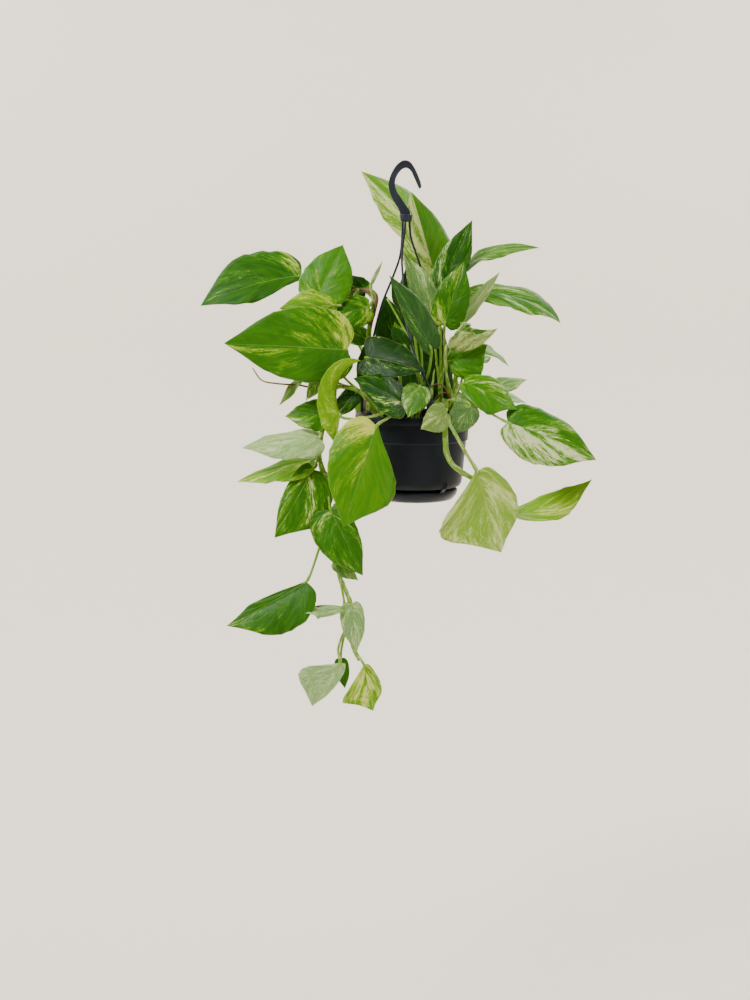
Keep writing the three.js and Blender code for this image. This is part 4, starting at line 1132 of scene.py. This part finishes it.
def makeSaucer():
    p = saucerSize
    top, bottom, radius, wall = p["top"], p["top"] - p["height"], p["radius"], p["wall"]
    shape = turnedShape([
        (0, bottom), (p["footRadius"], bottom), (p["footRadius"] + 2, bottom + 0.6),
        (radius - 4.4, bottom + 2.6), (radius - 1.6, bottom + 6), (radius - 0.3, bottom + 9.4),
        (radius, top - 1.6), (radius - 0.3, top), (radius - wall, top), (radius - wall - 0.2, top - 2),
        (radius - 3.4, bottom + 6.4), (radius - 6, bottom + 3.8), (p["footRadius"], bottom + wall),
        (0, bottom + wall),
    ], potSize["segments"], potSize["axis"])
    inner, low = radius - wall, potSize["rimTop"] - potSize["height"] + potSize["wall"]  # the pot's floor
    tab = [
        (inner, top - 1.6), (radius, top - 1.6), (radius, top), (radius + 4.4, low - 0.4),
        (radius + 4.4, low + 6), (radius + 2.4, low + 6), (radius - 0.1, low + 2.3),
        (inner + 0.5, low + 0.3), (inner + 3, low + 0.3), (inner + 3, low - 2.4), (inner, top + 0.2),
    ]
    for turn in potSize["tabs"]:
        place, width = roundPot(turn), p["tabWidth"] * mm
        corners = [place @ Vector((r * mm, -width / 2, z * mm)) for r, z in tab]
        thicken(shape, corners, place.to_3x3() @ Vector((0, width, 0)))
    saucer = makePiece("saucerTurned", shape, [saucerPlastic], "saucer")
    easeEdges(saucer, p["edge"])


makePot()
makeSaucer()
print("pot and saucer moulded")


# Soil: peat and bark fines with a little perlite, moist. It gives the eye a near-black crumbly brown.
soilLook = {
    "peat": ("#150d07", "#46301d", 1.2),  # its two colours, and its bumps in mm
    "perlite": ("#a9a292", "#d8d3c6", 0.3),
    "crumb": 2.2,  # mm
    "bump": 0.8,
    "roughness": 0.9,
    "ior": 1.4,
}

soilSize = {
    "top": -309,
    "dome": 3,
    "edgeRadius": 62.2,
    "wallRadius": 60,
    "depth": 70,
    "rings": 26,
    "segments": 96,
    "heaps": ((1.9, 0.09, 3), (0.9, 0.33, 9)),  # height in mm, how many to a mm, and slice of the noise
    "crumbs": 320,
    "perlite": 70,
    "crumbSize": (0.7, 1.9),
    "crumbStretch": (0.6, 1.3),
    "crumbRough": (0.35, 0.9),  # share of its size, and how many bumps to a mm
    "crumbUp": 0.3,  # how far its middle lies above the surface, as a share of its size
    "seed": 7,
}


def soilMaterial(name, dark, light, height):
    p = soilLook
    material, tree = newMaterial(name)
    object3d = addNode(tree, "TexCoord").outputs["Object"]
    crumbs = addNode(tree, "TexNoise", {
        "Vector": object3d, "Scale": 1 / (p["crumb"] * mm), "Detail": 6, "Roughness": 0.7})
    colour = addNode(tree, "Mix", {0: crumbs, 6: dark, 7: light}, **colours).outputs[2]
    skin = addSkin(tree, [(crumbs, (p["bump"], height))], {
        "Base Color": colour, "Roughness": p["roughness"], "IOR": p["ior"]})
    addNode(tree, "OutputMaterial", [skin])
    return material


def soilHeight(x, y):
    # Height of the soil's surface in mm: a low dome, heaped and pitted
    p = soilSize
    away = (Vector((x, y)) - Vector(potSize["axis"])).length / p["edgeRadius"]
    rough = sum(high * noise.noise((x * perMm, y * perMm, which)) for high, perMm, which in p["heaps"])
    return p["top"] + p["dome"] * (1 - away * away) + rough


def addCrumb(shape, draw, material):
    p = soilSize
    away, turn = p["wallRadius"] * draw.random() ** 0.5, draw.uniform(0, 2 * math.pi)
    x, y = potSize["axis"][0] + away * math.cos(turn), potSize["axis"][1] + away * math.sin(turn)
    size = draw.uniform(*p["crumbSize"])
    place = Matrix.Translation((x * mm, y * mm, (soilHeight(x, y) + p["crumbUp"] * size) * mm))
    turned = Euler([draw.uniform(0, 6) for _ in range(3)]).to_matrix().to_4x4()
    stretch = Matrix.Diagonal([size * mm * draw.uniform(*p["crumbStretch"]) for _ in range(3)] + [1])
    crumb = bmesh.ops.create_icosphere(shape, subdivisions=1, radius=1, matrix=place @ turned @ stretch)
    share, perMm = p["crumbRough"]
    for vert in crumb["verts"]:
        vert.co += noise.noise_vector(vert.co * perMm / mm) * share * size * mm
        for face in vert.link_faces:
            face.smooth = True
            face.material_index = material


def makeSoil():
    p = soilSize
    top, bottom, wall, edge = p["top"], p["top"] - p["depth"], p["wallRadius"], p["edgeRadius"]
    surface = [(edge * k / p["rings"], top) for k in range(p["rings"], -1, -1)]
    shape = turnedShape([
        (0, bottom), (wall - 12, bottom), (wall - 3, bottom + 12), (wall, top - 22), (edge - 1, top - 4),
        *surface], p["segments"], potSize["axis"])
    for vert in shape.verts:
        if vert.co.z > (top - 1) * mm:
            vert.co.z = soilHeight(vert.co.x / mm, vert.co.y / mm) * mm
    draw = random.Random(p["seed"])
    noise.seed_set(p["seed"])  # noise_vector starts from the clock otherwise
    for k in range(p["crumbs"] + p["perlite"]):
        addCrumb(shape, draw, 1 if k >= p["crumbs"] else 0)
    materials = [soilMaterial("moistPeat", *soilLook["peat"]), soilMaterial("perlite", *soilLook["perlite"])]
    makePiece("soilHeaped", shape, materials, "soil")


makeSoil()
print("soil heaped")


# Hanger: a flat moulded hook with a thin raised edge, and a collar that holds three strands, which
# clip through the pot's rim. The hook's outline runs round its outer edge from the collar and back.
hangerSize = {
    "hook": [
        (-7.6, -57), (-10, -49), (-15, -41), (-20, -31), (-22.4, -21), (-21, -12), (-17, -3), (-11, 5),
        (-4, 9), (3, 7.6), (8.5, 1), (13, -8), (17, -19), (17.2, -23), (15, -24.6), (12.6, -20), (8, -10),
        (4.4, -3), (0, 0), (-5, -1), (-10, -6), (-13.6, -13), (-14.4, -20), (-12, -28), (-7, -35.6),
        (-2, -43), (3, -50), (4.6, -57)],
    "hookStep": 1.6,
    "thick": 6,
    "edge": 0.9,
    "web": (1.5, 0.5),  # the raised edge's width, and how far the web lies below it
    "collar": (-1, -55, 9, 6.6, 8),  # x, top, height, radii at its foot and its top
    "collarSegments": 48,
    "strandRadius": 1.4,
    "strandSides": 16,
    "strandStep": 3,
    "strandEnds": (8, -4),  # a strand's last two points, in mm above its clip's top
    "socketTop": -59.8,
    "clip": (3.6, 8, 28),  # across the rim, along it, and high
    "barb": (3.6, 12, 3),
    "clipLow": -301.1,
    "clipEdge": 0.6,
}

strandRoutes = {
    "strand_left": [
        (-5, 1.5, -68), (-8, 1, -104), (-16, 4, -128), (-29, 9, -160), (-36, 13, -184), (-41, 16, -206)],
    "strand_front": [
        (-2, -4.5, -68), (-6, -4, -104), (-5, -12, -130), (-3, -28, -174), (3, -40, -202), (12, -50, -230)],
    "strand_back": [(3.5, 2, -68), (5, 3, -82), (10, 6, -98), (17, 10, -117)],
}


def makeHook():
    p = hangerSize
    shape = bmesh.new()
    thick = p["thick"] * mm
    line = smoothLine([(x, 0, z) for x, z in p["hook"]], p["hookStep"])
    thicken(shape, [(point.x * mm, -thick / 2, point.z * mm) for point in line], (0, thick, 0))
    flats = [side for side in shape.faces if len(side.verts) > 4]
    edge, deep = p["web"]
    bmesh.ops.inset_region(shape, faces=flats, thickness=edge * mm, use_even_offset=True)
    for flat in flats:
        flat.normal_update()
        bmesh.ops.translate(shape, verts=flat.verts, vec=flat.normal * -deep * mm)
    x, top, height, small, large = p["collar"]
    collar = turnedShape([
        (0, top - height), (small - 0.5, top - height), (small, top - height + 0.5), (large, top - 0.8),
        (large - 0.8, top), (0, top)], p["collarSegments"], (x, 0))
    joined = bpy.data.meshes.new("collar")
    collar.to_mesh(joined)
    collar.free()
    shape.from_mesh(joined)
    bpy.data.meshes.remove(joined)
    for side in shape.faces:
        side.smooth = True
    hook = makePiece("hookMoulded", shape, [hangerPlastic], "hanger_hook")
    easeEdges(hook, p["edge"], 3)


def makeStrand(name, route):
    # A round strand from the collar's socket to its flat clip, which ends in a barb below the rim
    p = hangerSize
    shape = bmesh.new()
    turn, ring = potSize["clips"][name], potSize["clipRing"]
    x, y, z = roundPot(turn) @ Vector((ring * mm, 0, 0)) / mm
    top = p["clipLow"] + p["clip"][2]
    ends = [(x, y, top + up) for up in p["strandEnds"]]
    line = smoothLine([(*route[0][:2], p["socketTop"]), *route, *ends], p["strandStep"])
    addTube(shape, leafLayers(shape), line, lambda at: p["strandRadius"], lambda at: (0, 0), 0,
            p["strandSides"], 0)
    for size in (p["clip"], p["barb"]):
        addBox(shape, ring, p["clipLow"], size, turn)
    piece = makePiece(name + "Moulded", shape, [hangerPlastic], name)
    easeEdges(piece, p["clipEdge"])


makeHook()
for name, route in strandRoutes.items():
    makeStrand(name, route)
print("hanger moulded")


# Studio: warm pale paper that sweeps up behind the hanging plant, a large soft key at the upper left,
# a weak fill, a rim light, and two lamps for the paper
studio = {
    "floorHeight": -1.15,  # m
    "wallDistance": 2.4,
    "sweepRadius": 0.9,
    "paperNear": -4,
    "paperRise": 3,
    "paperHalfWidth": 5,
    "sweepShares": (0.4, 0.7),  # where along the paper its sweep starts and ends
    "paper": "#f4e9d8",
    "paperRoughness": 0.9,
    "sky": "#f6f5f8",
    "skyStrength": 0.22,
    "lights": [
        # name, place, what it is turned to, size in m, watts
        ("key", (-1.3, -1.5, 1.5), (0, 0, -0.35), 1.1, 74),
        ("fill", (1.7, -1.8, -0.1), (0, 0, -0.35), 1.6, 16),
        ("rim", (0.9, 1.2, 1.3), (0, 0, -0.3), 0.8, 22),
        ("paperLeft", (-2.2, 0.7, 1.4), (-0.6, 2.4, -0.4), 1.5, 90),
        ("paperRight", (2.2, 0.7, 1.4), (0.6, 2.4, -0.4), 1.5, 90),
    ],
}


def makePaper():
    p = studio
    shape = bmesh.new()
    radius, near, (start, end) = p["sweepRadius"], p["paperNear"], p["sweepShares"]
    for vert in bmesh.ops.create_grid(shape, x_segments=1, y_segments=48, size=1)["verts"]:
        share = (vert.co.y + 1) / 2
        flat, rise = min(share / start, 1), max((share - end) / (1 - end), 0)
        angle = min(max((share - start) / (end - start), 0), 1) * math.pi / 2
        y = near + flat * (p["wallDistance"] - radius - near) + radius * math.sin(angle)
        z = p["floorHeight"] + radius * (1 - math.cos(angle)) + rise * p["paperRise"]
        vert.co = (vert.co.x * p["paperHalfWidth"], y, z)
    for face in shape.faces:
        face.smooth = True
    mesh = bpy.data.meshes.new("paperSweep")
    shape.to_mesh(mesh)
    shape.free()
    material, tree = newMaterial("palePaper")
    skin = addNode(tree, "BsdfPrincipled", {"Base Color": p["paper"], "Roughness": p["paperRoughness"]})
    addNode(tree, "OutputMaterial", [skin])
    mesh.materials.append(material)
    paper = bpy.data.objects.new("paperSweep", mesh)
    scene.collection.objects.link(paper)


def lightStudio():
    world = bpy.data.worlds.new("studio")
    world.use_nodes = True
    sky = world.node_tree.nodes["Background"]
    sky.inputs["Color"].default_value = linear(studio["sky"])
    sky.inputs["Strength"].default_value = studio["skyStrength"]
    scene.world = world
    for name, place, aim, size, watts in studio["lights"]:
        lamp = bpy.data.lights.new(name, "AREA")
        lamp.shape = "DISK"
        lamp.size = size
        lamp.energy = watts
        light = bpy.data.objects.new(name, lamp)
        light.location = place
        light.rotation_euler = (Vector(aim) - Vector(place)).to_track_quat("-Z", "Y").to_euler()
        scene.collection.objects.link(light)


makePaper()
lightStudio()
print("studio lit")
